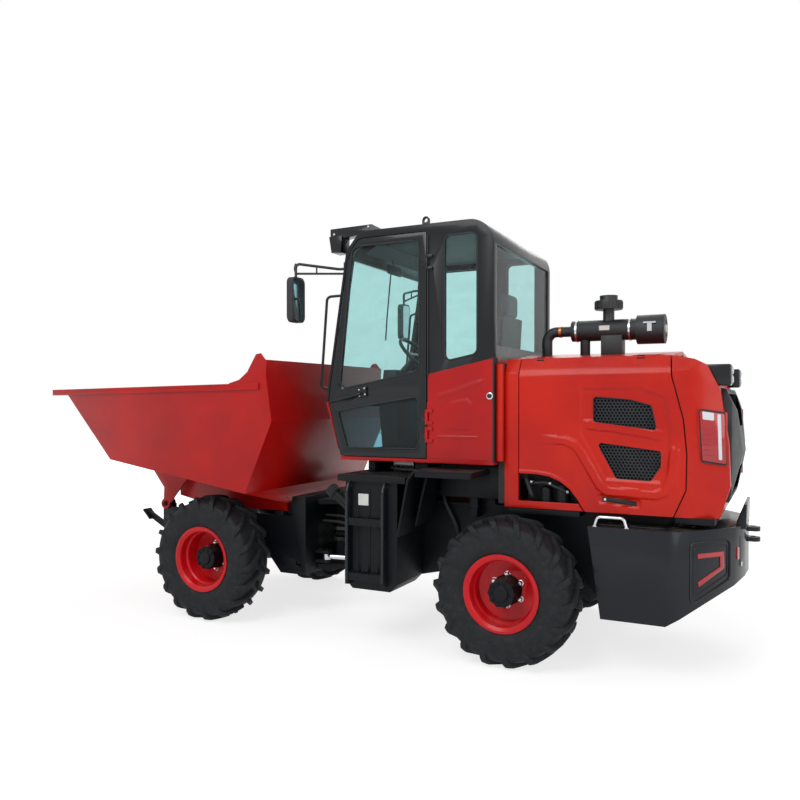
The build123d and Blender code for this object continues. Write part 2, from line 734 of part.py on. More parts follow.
def cab_shell():
    """Hollow cab: floor, roof, pillars and rear lower panels, with every window cut."""
    outer = soft_slab(cab_shape, -cab_half_w, cab_half_w, cab_corner_rs)
    inner_rs = [(index, max(radius - cab_wall, 10)) for index, radius in cab_corner_rs]
    inner = soft_slab(
        inset_outline(cab_shape, cab_wall), -cab_half_w + cab_wall, cab_half_w - cab_wall, inner_rs)
    body = outer - inner
    doorway = inset_outline(door_shape, -run_gap)
    hole = soft_slab(doorway, cab_half_w - cab_wall - 1, cab_half_w + 10, [(4, door_head_r + run_gap)])
    quarter_rs = [(index, quarter_pane_r) for index in range(len(quarter_pane))]
    quarter = soft_slab(quarter_pane, cab_half_w - cab_wall - 10, cab_half_w + 10, quarter_rs)
    body = cut(body, hole, across(hole), quarter, across(quarter))
    rear_window = block(
        cab_rear_x - 20, cab_rear_x + cab_wall + 10, -cab_half_w + 60, cab_half_w - 60,
        rear_pane_low_z, rear_pane_high_z)
    body = body - rear_window
    for low, high in (cab_shape[1:3], cab_shape[2:4]):
        strip = front_strip(low, high, screen_margin, 20, cab_wall + 30)
        body = body - slab(strip, -screen_half_w, screen_half_w)
    for side in (1, -1):
        y0 = side * eye_y - eye_t / 2
        y1 = side * eye_y + eye_t / 2
        ring = rod((eye_x, y0, eye_z), (eye_x, y1, eye_z), eye_r)
        foot = block(eye_x - eye_r, eye_x + eye_r, y0, y1, cab_roof_z - 5, eye_z)
        hole = rod((eye_x, y1 + 1, eye_z), (eye_x, y0 - 1, eye_z), eye_hole_r)
        body = body + cut(fuse(ring, foot), hole)
    for knuckle in hinge_knuckles():
        body = fuse(body, knuckle, across(knuckle))
    grab = pillar_grab()
    return fuse(body, grab, across(grab))


def pillar_x(z):
    """X of the cab's front face at a height above its waist."""
    share = (z - cab_waist_z) / (cab_head_z - cab_waist_z)
    return cab_waist_x + share * (cab_head_x - cab_waist_x)


def pillar_grab():
    """Left boarding handle, both feet on the front face of the pillar."""
    foot_y = cab_half_w - 32
    bar_y = cab_half_w + 28
    high_z = 2485
    low_z = 1790
    high_x = pillar_x(high_z)
    low_x = pillar_x(low_z)
    return tube_run([
        (high_x - grab_root, foot_y, high_z), (high_x + grab_high_reach, bar_y, high_z - 12),
        (low_x + grab_low_reach, bar_y, low_z + 20), (low_x - grab_root, foot_y, low_z)], grab_r, 35)


def cab_door():
    """Left door leaf with its two panes cut out, lock handle and hinge barrels."""
    y0 = cab_half_w - cab_wall
    leaf = soft_slab(door_shape, y0 + 2, cab_half_w, [(4, door_head_r)])
    for outline, radii in ((upper_pane, upper_pane_rs), (lower_pane, lower_pane_rs)):
        leaf = leaf - soft_slab(outline, y0 - 5, cab_half_w + 5, list(enumerate(radii)))
    bar_y = cab_half_w + 30
    ends = [(x, bar_y, z) for x, z in door_handle]
    leaf = leaf + rod(*ends, door_handle_r)
    for x, y, z in ends:
        leaf = leaf + rod((x, cab_half_w - 10, z), (x, y, z), door_handle_r)
    for z in door_hinge_zs:
        leaf = leaf + rod((door_rear_x, door_hinge_y, z - 30), (door_rear_x, door_hinge_y, z + 30), 10)
        strap_x = door_rear_x + 40
        leaf = leaf + block(door_rear_x, strap_x, door_hinge_y - 8, door_hinge_y + 2, z - 28, z + 28)
        leaf = leaf + block(door_rear_x + 12, strap_x, cab_half_w - 2, door_hinge_y - 6, z - 28, z + 28)
    return leaf


def hinge_knuckles():
    """Fixed halves of the left door's hinges."""
    parts = []
    for z in door_hinge_zs:
        for low, high in ((z - 52, z - 30 - pin_fit), (z + 30 + pin_fit, z + 52)):
            knuckle = rod((door_rear_x, door_hinge_y, low), (door_rear_x, door_hinge_y, high), 10)
            leaf = block(door_rear_x - 45, door_rear_x, cab_half_w - 2, door_hinge_y + 2, low, high)
            parts.append(knuckle + leaf)
    return parts


pane_t = 6


def pane_xz(points, y_out, gap, radii):
    """Flat side pane set into its window with a small gap all round."""
    corners = [(index, radius - gap) for index, radius in enumerate(radii)]
    return soft_slab(inset_outline(points, gap), y_out - pane_t, y_out, corners)


def cab_glass():
    """Windscreen, foot screen, rear screen and quarter panes, one solid each."""
    gap = seat_gap
    quarter_rs = [quarter_pane_r] * len(quarter_pane)
    quarter = pane_xz(quarter_pane, cab_half_w - glass_setback, gap, quarter_rs)
    rear_w = cab_half_w - 60 - gap
    rear_x = cab_rear_x + glass_setback
    rear = block(rear_x, rear_x + pane_t, -rear_w, rear_w, rear_pane_low_z + gap, rear_pane_high_z - gap)
    panes = [quarter, across(quarter), rear]
    for low, high in (cab_shape[1:3], cab_shape[2:4]):
        strip = front_strip(low, high, screen_margin + gap, -glass_setback, glass_setback + pane_t)
        panes.append(slab(strip, gap - screen_half_w, screen_half_w - gap))
    return panes


def door_glass():
    """The door's two panes."""
    y = cab_half_w - glass_setback
    return [
        pane_xz(upper_pane, y, seat_gap, upper_pane_rs), pane_xz(lower_pane, y, seat_gap, lower_pane_rs),
    ]


seat_z = 1600
back_top_z = 2330


def seat():
    """Operator's seat on its pedestal."""
    floor = cab_floor_z + cab_wall + seat_gap
    base = block(330, 620, -180, 180, floor, seat_z)
    cushion = block(300, 760, -240, 240, seat_z, seat_z + 120)
    back = slab([
        (250, seat_z + 40), (370, seat_z + 40), (300, back_top_z), (210, back_top_z)], -230, 230)
    rest = slab([
        (215, back_top_z), (285, back_top_z), (270, back_top_z + 170), (215, back_top_z + 170)], -130, 130)
    return fuse(base, cushion, back, rest)


wheel_x = 1000
wheel_z = 2070
steering_r = 180


def steering_column():
    """Console, column and steering wheel."""
    floor = cab_floor_z + cab_wall + seat_gap
    console = slab([(1060, floor), (1200, floor), (1230, 1650), (1190, 1950), (1090, 1950)], -220, 220)
    column = rod((wheel_x + 130, 0, wheel_z - 130), (wheel_x, 0, wheel_z), 30)
    tilt = Pos(wheel_x, 0, wheel_z) * Rot(0, -45, 0)
    wheel = tilt * Torus(steering_r, 14)
    spoke = tilt * Box(30, 2 * steering_r, 14)
    return fuse(console, column, wheel, spoke)


# ---- hood and tail -----------------------------------------------------------------------


def hood_section(inset):
    """Half cross-section (Y, Z) of the hood from its foot to its crown."""
    return [
        (hood_half_w - inset, hood_low_z), (hood_half_w - inset, hood_crease_z - inset * 0.4),
        (hood_edge_y - inset * 0.6, hood_edge_z - inset), (0, hood_top_z - inset),
    ]


def hood_hull(x0, x1, inset):
    """Solid hood form between two stations."""
    right = hood_section(inset)
    left = [(-y, z) for y, z in reversed(right[:-1])]
    return bulkhead(right + left, x0, x1)


side_panel = [
    (hood_front_x, hood_edge_z + 60), (hood_front_x, 1230), (-233, 1222), (-369, 1139), (-459, 1011),
    (-470, hood_low_z),
] + door_gap_line[:-1] + [(hood_rear_x + tail_gap, hood_edge_z + 60)]
upper_vent = [(-515, 1735), (-736, 1717), (-870, 1680), (-906, 1526), (-515, 1575)]
lower_vent = [(-534, 1447), (-930, 1400), (-930, 1302), (-871, 1212), (-659, 1218)]
hood_hinge_xs = (-155, -800)
knuckle_l = 50
knuckle_end_l = 25


def hood_knuckle(x0, x1, y_foot):
    """Part of a hood hinge between two stations, with its leaf reaching to y_foot."""
    barrel = rod((x0, hood_hinge_y, hood_hinge_z), (x1, hood_hinge_y, hood_hinge_z), knuckle_r)
    leaf = block(x0, x1, hood_hinge_y, y_foot, hood_hinge_z - 18, hood_hinge_z - 4)
    return barrel + leaf


def hood_relief(x0, x1):
    """Room round a hinge barrel that belongs to the other side."""
    return rod((x0, hood_hinge_y, hood_hinge_z), (x1, hood_hinge_y, hood_hinge_z), knuckle_r + 5)


def hood_door():
    """Left side panel: hinges along its top edge, with two vents."""
    skin = cut(hood_hull(-1100, 0, 0), hood_hull(-1110, 10, hood_skin))
    skin = skin & slab(side_panel, 300, 700)
    skin = skin - block(-1200, 200, 0, hood_hinge_y + run_gap, 0, 3000)
    skin = cut(skin, slab(upper_vent, 300, 700), slab(lower_vent, 300, 700))
    for x in hood_hinge_xs:
        half = knuckle_l / 2
        for way in (-1, 1):
            near = x + way * (half + 0.2)
            far = x + way * (half + knuckle_end_l + run_gap)
            skin = skin - hood_relief(near, far)
        skin = skin + hood_knuckle(x - half, x + half, hood_hinge_y + 20)
    return skin


def vent_mesh():
    """Perforated screens behind the left panel's vents."""
    y1 = hood_half_w - hood_skin - seat_gap
    return [slab(inset_outline(outline, -12), y1 - 6, y1) for outline in (upper_vent, lower_vent)]


def hood_top():
    """Fixed top panel between the two side panels, with its hinge knuckles."""
    outer = hood_hull(hood_rear_x + seat_gap, hood_front_x + run_gap - seat_gap, 0)
    skin = outer - hood_hull(-1110, 10, hood_skin)
    edge = hood_hinge_y - run_gap
    top = skin & block(-1200, 200, -edge, edge, hood_crease_z - 60, 3000)
    for x in hood_hinge_xs:
        half = knuckle_l / 2
        relief = hood_relief(x - half - 0.2, x + half + 0.2)
        top = cut(top, relief, across(relief))
        for way in (-1, 1):
            near = x + way * (half + pin_fit)
            far = x + way * (half + knuckle_end_l)
            knuckle = hood_knuckle(near, far, hood_hinge_y - 26)
            top = fuse(top, knuckle, across(knuckle))
    return top


def cowl():
    """Fixed band beside the cab and the red sill under the side panel."""
    front = cowl_front_x
    band = cut(
        hood_hull(hood_front_x + run_gap, front, 0),
        hood_hull(hood_front_x - 50, front - plate, hood_skin),
        block(front - plate - 5, front + 5, -300, 300, hood_low_z - 5, 1200))
    sill_end = hood_front_x + run_gap + 4
    sill = slab([(-456, hood_low_z), (sill_end, hood_low_z), (sill_end, 1046), (-424, 1046)],
                hood_half_w - hood_skin, hood_half_w)
    return fuse(band, sill, across(sill))


grille_gap = 6
grille_low_z = 1080
grille_high_z = 1790
grille_hinge_zs = (1250, 1600)
tail_back = [
    (-1262, hood_low_z), (-1320, 1190), (-1310, 1450), (-1260, 1781), (-1190, 1925), (-1120, 1965),
    (hood_rear_x, 1996),
]
tail_front = [(x - tail_gap, z) for x, z in reversed(door_gap_line[:-1])]


def tail_plan(inset):
    """Plan of the tail section, rounded off towards the rear."""
    w = hood_half_w - inset
    rear_x = -1330 + inset
    side_x = -1090 + inset * 0.4
    return deck([
        (-900, -w), (side_x, -w), (rear_x, -505 + inset * 0.6), (rear_x, 505 - inset * 0.6),
        (side_x, w), (-900, w)], 900, 2200)


tail_lamp_low_z = 1315
tail_lamp_high_z = 1668
rear_lamp_low_z = 1808
rear_lamp_high_z = 1928


def tail_lamp():
    """Left tail lamp housing on the slanted corner of the tail."""
    body = deck([
        (-1140, 560), (-1140, 592), (-1300, 530), (-1300, 498)], tail_lamp_low_z, tail_lamp_high_z)
    lean = slab([
        (-1130, tail_lamp_high_z), (-1300, tail_lamp_high_z - 30), (-1310, tail_lamp_low_z),
        (-1160, tail_lamp_low_z + 30)], 400, 700)
    return body & lean


def rear_work_lamp():
    """Left rear work lamp in the upper corner of the tail."""
    return block(-1316, -1170, 380, 500, rear_lamp_low_z, rear_lamp_high_z)


def tail_cover():
    """Tail section round the radiator, open at the rear for the grille door."""
    outer = slab(tail_back + tail_front, -hood_half_w, hood_half_w) & tail_plan(0) & hood_hull(-1400, -900, 0)
    room = inset_outline([(-900, hood_low_z)] + tail_back + [(-900, 1996)], hood_skin)
    inner = slab(room, -hood_half_w, hood_half_w) & tail_plan(hood_skin) & hood_hull(-1400, -900, hood_skin)
    mouth_w = grille_half_w + grille_gap
    mouth = block(-1400, -1200, -mouth_w, mouth_w, grille_low_z, grille_high_z)
    body = cut(outer, inner, mouth)
    for lamp in (tail_lamp(), rear_work_lamp()):
        body = fuse(body, lamp, across(lamp))
    x, y = grille_hinge_x, -grille_hinge_y
    for z in grille_hinge_zs:
        for way in (-1, 1):
            near = z + way * (knuckle_l / 2 + pin_fit)
            far = z + way * (knuckle_l / 2 + knuckle_end_l)
            body = body + rod((x, y, near), (x, y, far), knuckle_r)
            body = body + block(x, x + 75, y - 16, y, near, far)
    return body


slat_count = 12
slat_t = 8


def slat_plan(z0, z1):
    """One bowed slat of the grille, let into its frame at both ends."""
    w = grille_half_w - 25
    return deck([
        (-1296, -w), (-1310, -w), (-1368, -150), (-1368, 150), (-1310, w), (-1296, w),
        (-1354, 148), (-1354, -148)], z0, z1)


def rear_grille():
    """Rear grille door, bulged in plan, hinged on the machine's right."""
    w = grille_half_w
    low = grille_low_z + grille_gap
    high = grille_high_z - grille_gap
    frame_w = 30
    plan = deck([
        (-1262, -w), (-1320, -w), (-1378, -150), (-1378, 150), (-1320, w), (-1262, w)], low, high)
    hollow = deck([
        (-1200, frame_w - w), (-1300, frame_w - w), (-1352, -150), (-1352, 150),
        (-1300, w - frame_w), (-1200, w - frame_w)], low + frame_w, high - frame_w)
    slope = slab([
        (-1500, 1060), (-1300, 1060), (-1372, 1380), (-1340, 1650), (-1285, 1790), (-1500, 1790)], -600, 600)
    slats = slat_plan(low + frame_w, low + frame_w + slat_t)
    for i in range(1, slat_count):
        z = low + frame_w + i * (high - low - 2 * frame_w) / slat_count
        slats = slats + slat_plan(z, z + slat_t)
    door = fuse(cut(plan, hollow), slats) - slope
    x, y = grille_hinge_x, -grille_hinge_y
    for z in grille_hinge_zs:
        half = knuckle_l / 2
        door = door + rod((x, y, z - half), (x, y, z + half), knuckle_r)
        door = door + block(x - knuckle_r, x + 8, y, y + 24, z - half, z + half)
        door = door + block(x, x + 40, y + 12, y + 24, z - half, z + half)
    return door


ballast_low_z = 355
ballast_top_z = 925
ballast_grip_y = 690
ballast_grip_z = 985


def counterweight():
    """Cast counterweight with a raised tow block."""
    plan = deck([
        (-500, -720), (-980, -720), (-1050, -690), (-1335, -350), (-1385, -180), (-1400, 0),
        (-1385, 180), (-1335, 350), (-1050, 690), (-980, 720), (-500, 720)], ballast_low_z, ballast_top_z)
    front = slab([(-400, 300), (-598, 300), (-505, 950), (-400, 950)], -800, 800)
    under = slab([(-950, 340), (-1460, 640), (-1460, 300), (-950, 300)], -800, 800)
    pocket = block(frame_rear_x - seat_gap, -400, -rear_half_w - seat_gap, rear_half_w + seat_gap, 300, 1000)
    body = cut(plan, front, under, pocket)
    tow = slab([(-1330, 900), (-1394, 900), (-1398, 1055), (-1380, 1055), (-1340, 950)], -230, 230)
    body = body + tow
    for z0, z1 in ((tow_z - tow_t / 2, tow_z - tow_t / 2 + 28), (tow_z + tow_t / 2 - 28, tow_z + tow_t / 2)):
        cheek = block(-1385, tow_x, -tow_cheek_r, tow_cheek_r, z0, z1)
        cheek = cheek + rod((tow_x, 0, z0), (tow_x, 0, z1), tow_cheek_r)
        body = body + cheek
    body = body - rod((tow_x, 0, tow_z - tow_t), (tow_x, 0, tow_z + tow_t), tow_r)
    handle = tube_run([
        (-545, ballast_grip_y, ballast_top_z - 10), (-565, ballast_grip_y, ballast_grip_z),
        (-725, ballast_grip_y, ballast_grip_z), (-745, ballast_grip_y, ballast_top_z - 10)], 9, 25)
    return fuse(body, handle, across(handle))


# ---- outside fittings ------------------------------------------------------------------------
tank_rear_x = 745
tank_front_x = 1150
tank_low_z = 400
tank_cut = 55
step_z = 1150
step_t = 45
ladder_xs = (828, 1107)
ladder_y = 930
rung_zs = (470, 850)
rung_h = 50


def side_tank():
    """Left tank with its step plate, boarding ladder and filler neck."""
    tank = slab([
        (tank_rear_x, tank_low_z + tank_cut), (tank_rear_x + tank_cut, tank_low_z),
        (tank_front_x - tank_cut, tank_low_z), (tank_front_x, tank_low_z + tank_cut),
        (tank_front_x, step_z), (tank_rear_x, step_z)], 470, 870)
    deck_plate = block(672, 1200, 470, 900, step_z, step_z + step_t)
    body = fuse(tank, deck_plate)
    for x in ladder_xs:
        body = body + block(x - 14, x + 14, 865, ladder_y, 440, 1110)
    for z in rung_zs:
        body = body + block(*ladder_xs, 868, ladder_y, z, z + rung_h)
    arm = block(tank_rear_x, tank_rear_x + 55, rear_half_w + seat_gap, 475, 600, 950)
    arm_b = block(1020, 1035, rear_half_w + seat_gap, 475, 600, 950)
    neck = rod((1140, 800, 940), (1290, 800, 1060), 32)
    cap = rod((1270, 800, 1044), (1320, 800, 1084), 44)
    return fuse(body, arm, arm_b, neck, cap)


def rear_fender():
    """Left rear fender, a folded plate carried off the frame."""
    outline = [
        (738, 790), (660, 1185), (612, 1245), (200, 1245), (200, 1230), (604, 1230), (645, 1180), (722, 790)]
    sheet = slab(outline, 500, 900)
    leg = block(300, 360, rear_half_w + seat_gap, 510, 900, 1235)
    foot = block(300, 360, rear_half_w + seat_gap, 520, 900, 960)
    return fuse(sheet, leg, foot)


def air_cleaner():
    """Air cleaner canister with pre-cleaner, ducts and saddle."""
    y = 150
    z = 2195
    body = rod((-272, y, z), (-714, y, z), 72)
    head = rod((-714, y, z - 5), (-889, y, z - 5), 98)
    neck = rod((-520, y, z), (-520, y, 2340), 38)
    cap = rod((-520, y, 2335), (-520, y, 2395), 92)
    crown = rod((-520, y, 2395), (-520, y, 2428), 60)
    saddle = block(-620, -480, y - 60, y + 60, hood_edge_z, z - 40)
    duct = tube_run([(-300, y, z), (-90, y, z), (-90, y, hood_edge_z)], 36, 70)
    intake = rod((-360, y, z), (-360, y, hood_edge_z), 34)
    whole = fuse(body, head, neck, cap, crown, saddle, duct, intake)
    return whole - hood_hull(hood_rear_x, cowl_front_x, -seat_gap)


def work_lamp():
    """Left front work lamp on its roof bracket."""
    seat_z = cab_roof_z + seat_gap
    bracket = slab([
        (1000, seat_z), (cab_brow_x + 15, seat_z), (1330, 2915), (1440, 2925), (1440, 2990), (1090, 2995),
        (1000, seat_z + 12)], 520, 600)
    lamp = slab([(1330, 2930), (1440, 2930), (1420, 2810), (1340, 2810)], 500, 620)
    return fuse(bracket, lamp)


mirror_x = 1560
mirror_low_z = 2275
mirror_high_z = 2600


def mirror_arm():
    """Left rear-view mirror with its tube arm, bolted to the front of the pillar."""
    foot_z = 2680
    foot_x = pillar_x(foot_z) + seat_gap
    pad = block(foot_x, foot_x + 12, 612, 656, foot_z - 45, foot_z + 45)
    arm = tube_run([
        (foot_x + 4, 634, foot_z), (foot_x + 60, 640, foot_z), (mirror_x, 880, foot_z + 20),
        (mirror_x, 880, mirror_low_z + 175)], 10, 30)
    low_bar = rod((foot_x + 8, 634, foot_z - 36), (mirror_x, 880, foot_z - 52), 8)
    head = block(mirror_x - 25, mirror_x + 25, 800, 960, mirror_low_z, mirror_high_z)
    head = fillet(head.edges().filter_by(Axis.X), 45)
    pillar = slab(front_strip(cab_shape[2], cab_shape[3], -40, seat_gap, 60), 500, 700)
    return cut(fuse(pad, arm, low_bar, head), pillar)


# ---- write every sub-part -----------------------------------------------------------------------
make_wheels()
save("rear_axle", axle(0, rear_disc_inset, 560 - seat_gap, rear_half_w))
save("front_axle", axle(wheelbase, front_disc_inset, 580 - seat_gap, front_half_w))
save("rear_frame", rear_frame())
save("transmission", transmission())
save("engine_block", engine_block())
save("counterweight", counterweight())
make_cylinders()
save("front_frame", front_frame())
save("skip", skip())
save("cab_shell", cab_shell())
save("cab_glass", *cab_glass())
for hand in ("left", "right"):
    turn = (lambda s: s) if hand == "left" else across
    save(f"cab_door_{hand}", turn(cab_door()))
    save(f"door_glass_{hand}", *[turn(s) for s in door_glass()])
    save(f"hood_door_{hand}", turn(hood_door()))
    save(f"vent_mesh_{hand}", *[turn(s) for s in vent_mesh()])
    save(f"side_tank_{hand}", turn(side_tank()))
save("seat", seat())
save("steering_column", steering_column())
save("hood_top", hood_top())
save("cowl", cowl())
save("tail_cover", tail_cover())
save("rear_grille", rear_grille())
save("air_cleaner", air_cleaner())
save("rear_fenders", *both(rear_fender()))
save("work_lamps", *both(work_lamp()))
save("mirrors", *both(mirror_arm()))
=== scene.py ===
import math

import bmesh
import bpy
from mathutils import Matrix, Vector
from mathutils.geometry import delaunay_2d_cdt


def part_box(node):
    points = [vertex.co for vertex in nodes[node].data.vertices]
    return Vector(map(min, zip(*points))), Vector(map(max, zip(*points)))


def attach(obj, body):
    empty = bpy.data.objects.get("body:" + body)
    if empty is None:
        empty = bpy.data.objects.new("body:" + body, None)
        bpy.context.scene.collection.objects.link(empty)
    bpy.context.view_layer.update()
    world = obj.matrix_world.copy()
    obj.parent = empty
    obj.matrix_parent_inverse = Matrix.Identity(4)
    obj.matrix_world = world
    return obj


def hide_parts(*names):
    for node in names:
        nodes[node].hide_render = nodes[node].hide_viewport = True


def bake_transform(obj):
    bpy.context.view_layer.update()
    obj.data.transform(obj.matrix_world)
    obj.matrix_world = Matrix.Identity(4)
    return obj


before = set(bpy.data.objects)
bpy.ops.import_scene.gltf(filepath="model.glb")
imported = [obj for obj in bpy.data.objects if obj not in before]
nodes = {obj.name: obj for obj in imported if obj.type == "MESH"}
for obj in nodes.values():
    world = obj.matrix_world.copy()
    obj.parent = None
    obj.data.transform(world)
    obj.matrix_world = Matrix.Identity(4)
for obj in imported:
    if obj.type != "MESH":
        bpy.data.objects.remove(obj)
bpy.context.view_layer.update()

# Metres. Positions are given from the point on the ground under the rear axle:
# X forward to the skip, Y to the machine's left, Z up. at() puts them in the row frame.


def middle(node):
    """Centre of a CAD node's box."""
    low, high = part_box(node)
    return (low + high) / 2


AXLE_X = middle("rear_left_tyre").x
WHEELBASE = middle("front_left_tyre").x - AXLE_X
WHEEL_Z = middle("rear_left_tyre").z
TRACK = 2 * middle("rear_left_tyre").y


def at(x, y, z):
    """Point in the row frame."""
    return Vector((AXLE_X + x, y, z))


# ---- materials --------------------------------------------------------------------


def linear(red, green, blue):
    """Linear colour from 0-255 display values."""
    def one(value):
        share = value / 255
        return share / 12.92 if share <= 0.04045 else ((share + 0.055) / 1.055) ** 2.4
    return (one(red), one(green), one(blue), 1.0)


class Shade:
    """A material's node tree with short ways to add nodes."""

    def __init__(self, name):
        self.material = bpy.data.materials.new(name)
        self.material.use_nodes = True
        self.nodes = self.material.node_tree.nodes
        self.link = self.material.node_tree.links.new
        self.surface = self.nodes["Principled BSDF"]
        self.output = self.nodes["Material Output"]
        self.place = self.nodes.new("ShaderNodeTexCoord").outputs["Object"]

    def noise(self, scale, detail=4.0, rough=0.55, stretch=None):
        node = self.nodes.new("ShaderNodeTexNoise")
        node.inputs["Scale"].default_value = scale
        node.inputs["Detail"].default_value = detail
        node.inputs["Roughness"].default_value = rough
        place = self.place
        if stretch:
            mapping = self.nodes.new("ShaderNodeMapping")
            mapping.inputs["Scale"].default_value = stretch
            self.link(place, mapping.inputs["Vector"])
            place = mapping.outputs["Vector"]
        self.link(place, node.inputs["Vector"])
        return node.outputs["Fac"]

    def ramp(self, factor, stops):
        node = self.nodes.new("ShaderNodeValToRGB")
        ramp = node.color_ramp
        while len(ramp.elements) < len(stops):
            ramp.elements.new(0.5)
        for element, (place, colour) in zip(ramp.elements, stops):
            element.position = place
            element.color = colour if len(colour) == 4 else (*colour, 1.0)
        self.link(factor, node.inputs["Fac"])
        return node.outputs["Color"]

    def steps(self, factor, low, high):
        """Grey 0-1 from a factor between two values."""
        return self.ramp(factor, [(low, (0, 0, 0)), (high, (1, 1, 1))])

    def mix(self, factor, a, b, way="MIX"):
        node = self.nodes.new("ShaderNodeMix")
        node.data_type = "RGBA"
        node.blend_type = way
        self.feed(node.inputs[0], factor)
        self.feed(node.inputs[6], a)
        self.feed(node.inputs[7], b)
        return node.outputs[2]

    def math(self, way, a, b=0.0):
        node = self.nodes.new("ShaderNodeMath")
        node.operation = way
        self.feed(node.inputs[0], a)
        self.feed(node.inputs[1], b)
        return node.outputs[0]

    def feed(self, socket, value):
        if isinstance(value, bpy.types.NodeSocket):
            self.link(value, socket)
        else:
            socket.default_value = value

    def axis(self, name, place=None):
        node = self.nodes.new("ShaderNodeSeparateXYZ")
        self.link(place or self.place, node.inputs["Vector"])
        return node.outputs[name]

    def bump(self, height, strength, distance=0.001, under=None):
        node = self.nodes.new("ShaderNodeBump")
        node.inputs["Strength"].default_value = strength
        node.inputs["Distance"].default_value = distance
        self.link(height, node.inputs["Height"])
        if under is not None:
            self.link(under, node.inputs["Normal"])
        return node.outputs["Normal"]

    def roughness(self, factor, low, high):
        """Roughness that follows a factor between two values."""
        node = self.nodes.new("ShaderNodeMapRange")
        node.inputs["To Min"].default_value = low
        node.inputs["To Max"].default_value = high
        self.link(factor, node.inputs["Value"])
        self.link(node.outputs["Result"], self.surface.inputs["Roughness"])

    def blend(self, share, first, second):
        """Surface mixed from two shaders."""
        node = self.nodes.new("ShaderNodeMixShader")
        for socket, source in zip(node.inputs, (share, first, second)):
            self.link(source, socket)
        self.link(node.outputs["Shader"], self.output.inputs["Surface"])

    def finish(self, colour, normal=None, **constants):
        self.feed(self.surface.inputs["Base Color"], colour)
        if normal is not None:
            self.link(normal, self.surface.inputs["Normal"])
        for name, value in constants.items():
            self.surface.inputs[name.replace("_", " ")].default_value = value
        return self.material


def upward(shade):
    """1 on faces that look up, 0 on walls."""
    geometry = shade.nodes.new("ShaderNodeNewGeometry")
    return shade.steps(shade.axis("Z", geometry.outputs["Normal"]), 0.45, 0.95)


DUST = linear(168, 150, 132)
STONE_CHIP = linear(70, 52, 48)
OILY_DUST = linear(120, 112, 100)
TREAD_DUST = linear(116, 112, 104)
ROOF_DUST = linear(150, 138, 124)


def dusty(shade, base, amount, colour, scale=7, low=0.42):
    """Base colour with patches of dust where the faces look up."""
    patches = shade.steps(shade.noise(scale, 8, 0.65), low, 0.75)
    share = shade.math("MULTIPLY", shade.math("MULTIPLY", upward(shade), patches), amount)
    return shade.mix(share, base, colour)


def cells(shade, scale, feature="F1"):
    """Distance in a Voronoi pattern, for pebble and leather grain."""
    node = shade.nodes.new("ShaderNodeTexVoronoi")
    node.feature = feature
    node.inputs["Scale"].default_value = scale
    shade.link(shade.place, node.inputs["Vector"])
    return node.outputs["Distance"]


def paint(name, colour, deep, rough=(0.24, 0.4), coat=0.5, dust=0.25, peel=0.05, gloss=0.26):
    """Sprayed gloss paint: slow colour drift, orange peel, dust on ledges, small stone chips."""
    shade = Shade(name)
    drift = shade.noise(2.3, 3)
    base = shade.mix(shade.steps(drift, 0.35, 0.68), colour, deep)
    base = dusty(shade, base, dust, DUST)
    chips = shade.steps(shade.noise(95, 3, 0.7), 0.735, 0.76)
    base = shade.mix(shade.math("MULTIPLY", chips, 0.35), base, STONE_CHIP)
    shade.roughness(shade.noise(14, 6, 0.6), *rough)
    peel_normal = shade.bump(shade.noise(420, 2), peel, 0.0004)
    wave = shade.bump(shade.noise(5, 2), 0.06, 0.004, peel_normal)
    return shade.finish(base, wave, Coat_Weight=coat, Coat_Roughness=0.06, Specular_IOR_Level=gloss)


def casting(name, colour, deep, rough=(0.45, 0.7), grain=0.5):
    """Satin paint over a cast or rolled surface, with dust and oily patches."""
    shade = Shade(name)
    base = shade.mix(shade.steps(shade.noise(6, 5), 0.35, 0.7), colour, deep)
    base = dusty(shade, base, 0.3, OILY_DUST, 9, 0.4)
    shade.roughness(shade.noise(18, 6, 0.6), *rough)
    grain_normal = shade.bump(shade.noise(260, 4, 0.6), grain, 0.0006)
    return shade.finish(base, grain_normal, Specular_IOR_Level=0.2)


def rubber(name):
    """Moulded tyre rubber: fine grain, dusty tread and sidewall bloom."""
    shade = Shade(name)
    base = shade.mix(shade.steps(shade.noise(9, 6), 0.3, 0.75), linear(15, 18, 22), linear(26, 29, 33))
    dust = shade.steps(shade.noise(26, 8, 0.7), 0.5, 0.8)
    base = shade.mix(shade.math("MULTIPLY", dust, 0.11), base, TREAD_DUST)
    shade.roughness(shade.noise(30, 5), 0.55, 0.82)
    normal = shade.bump(shade.noise(300, 3, 0.6), 0.35, 0.0008)
    return shade.finish(base, normal, Specular_IOR_Level=0.3)


def metal(name, colour, rough=(0.12, 0.3), brushed=None):
    """Bare or plated metal, with light scratches."""
    shade = Shade(name)
    base = shade.mix(shade.noise(12, 4), colour, tuple(0.82 * c for c in colour[:3]) + (1.0,))
    shade.roughness(shade.noise(60, 4, 0.6, brushed), *rough)
    normal = shade.bump(shade.noise(180, 3, 0.6, brushed), 0.08, 0.0004)
    return shade.finish(base, normal, Metallic=1.0)


def plastic(name, colour, rough=(0.4, 0.6), grain=0.4):
    """Moulded plastic with a fine pebble grain."""
    shade = Shade(name)
    base = shade.mix(shade.noise(8, 4), colour, tuple(1.5 * c + 0.004 for c in colour[:3]) + (1.0,))
    shade.roughness(shade.noise(24, 5), *rough)
    normal = shade.bump(cells(shade, 700), grain, 0.0004)
    return shade.finish(base, normal)


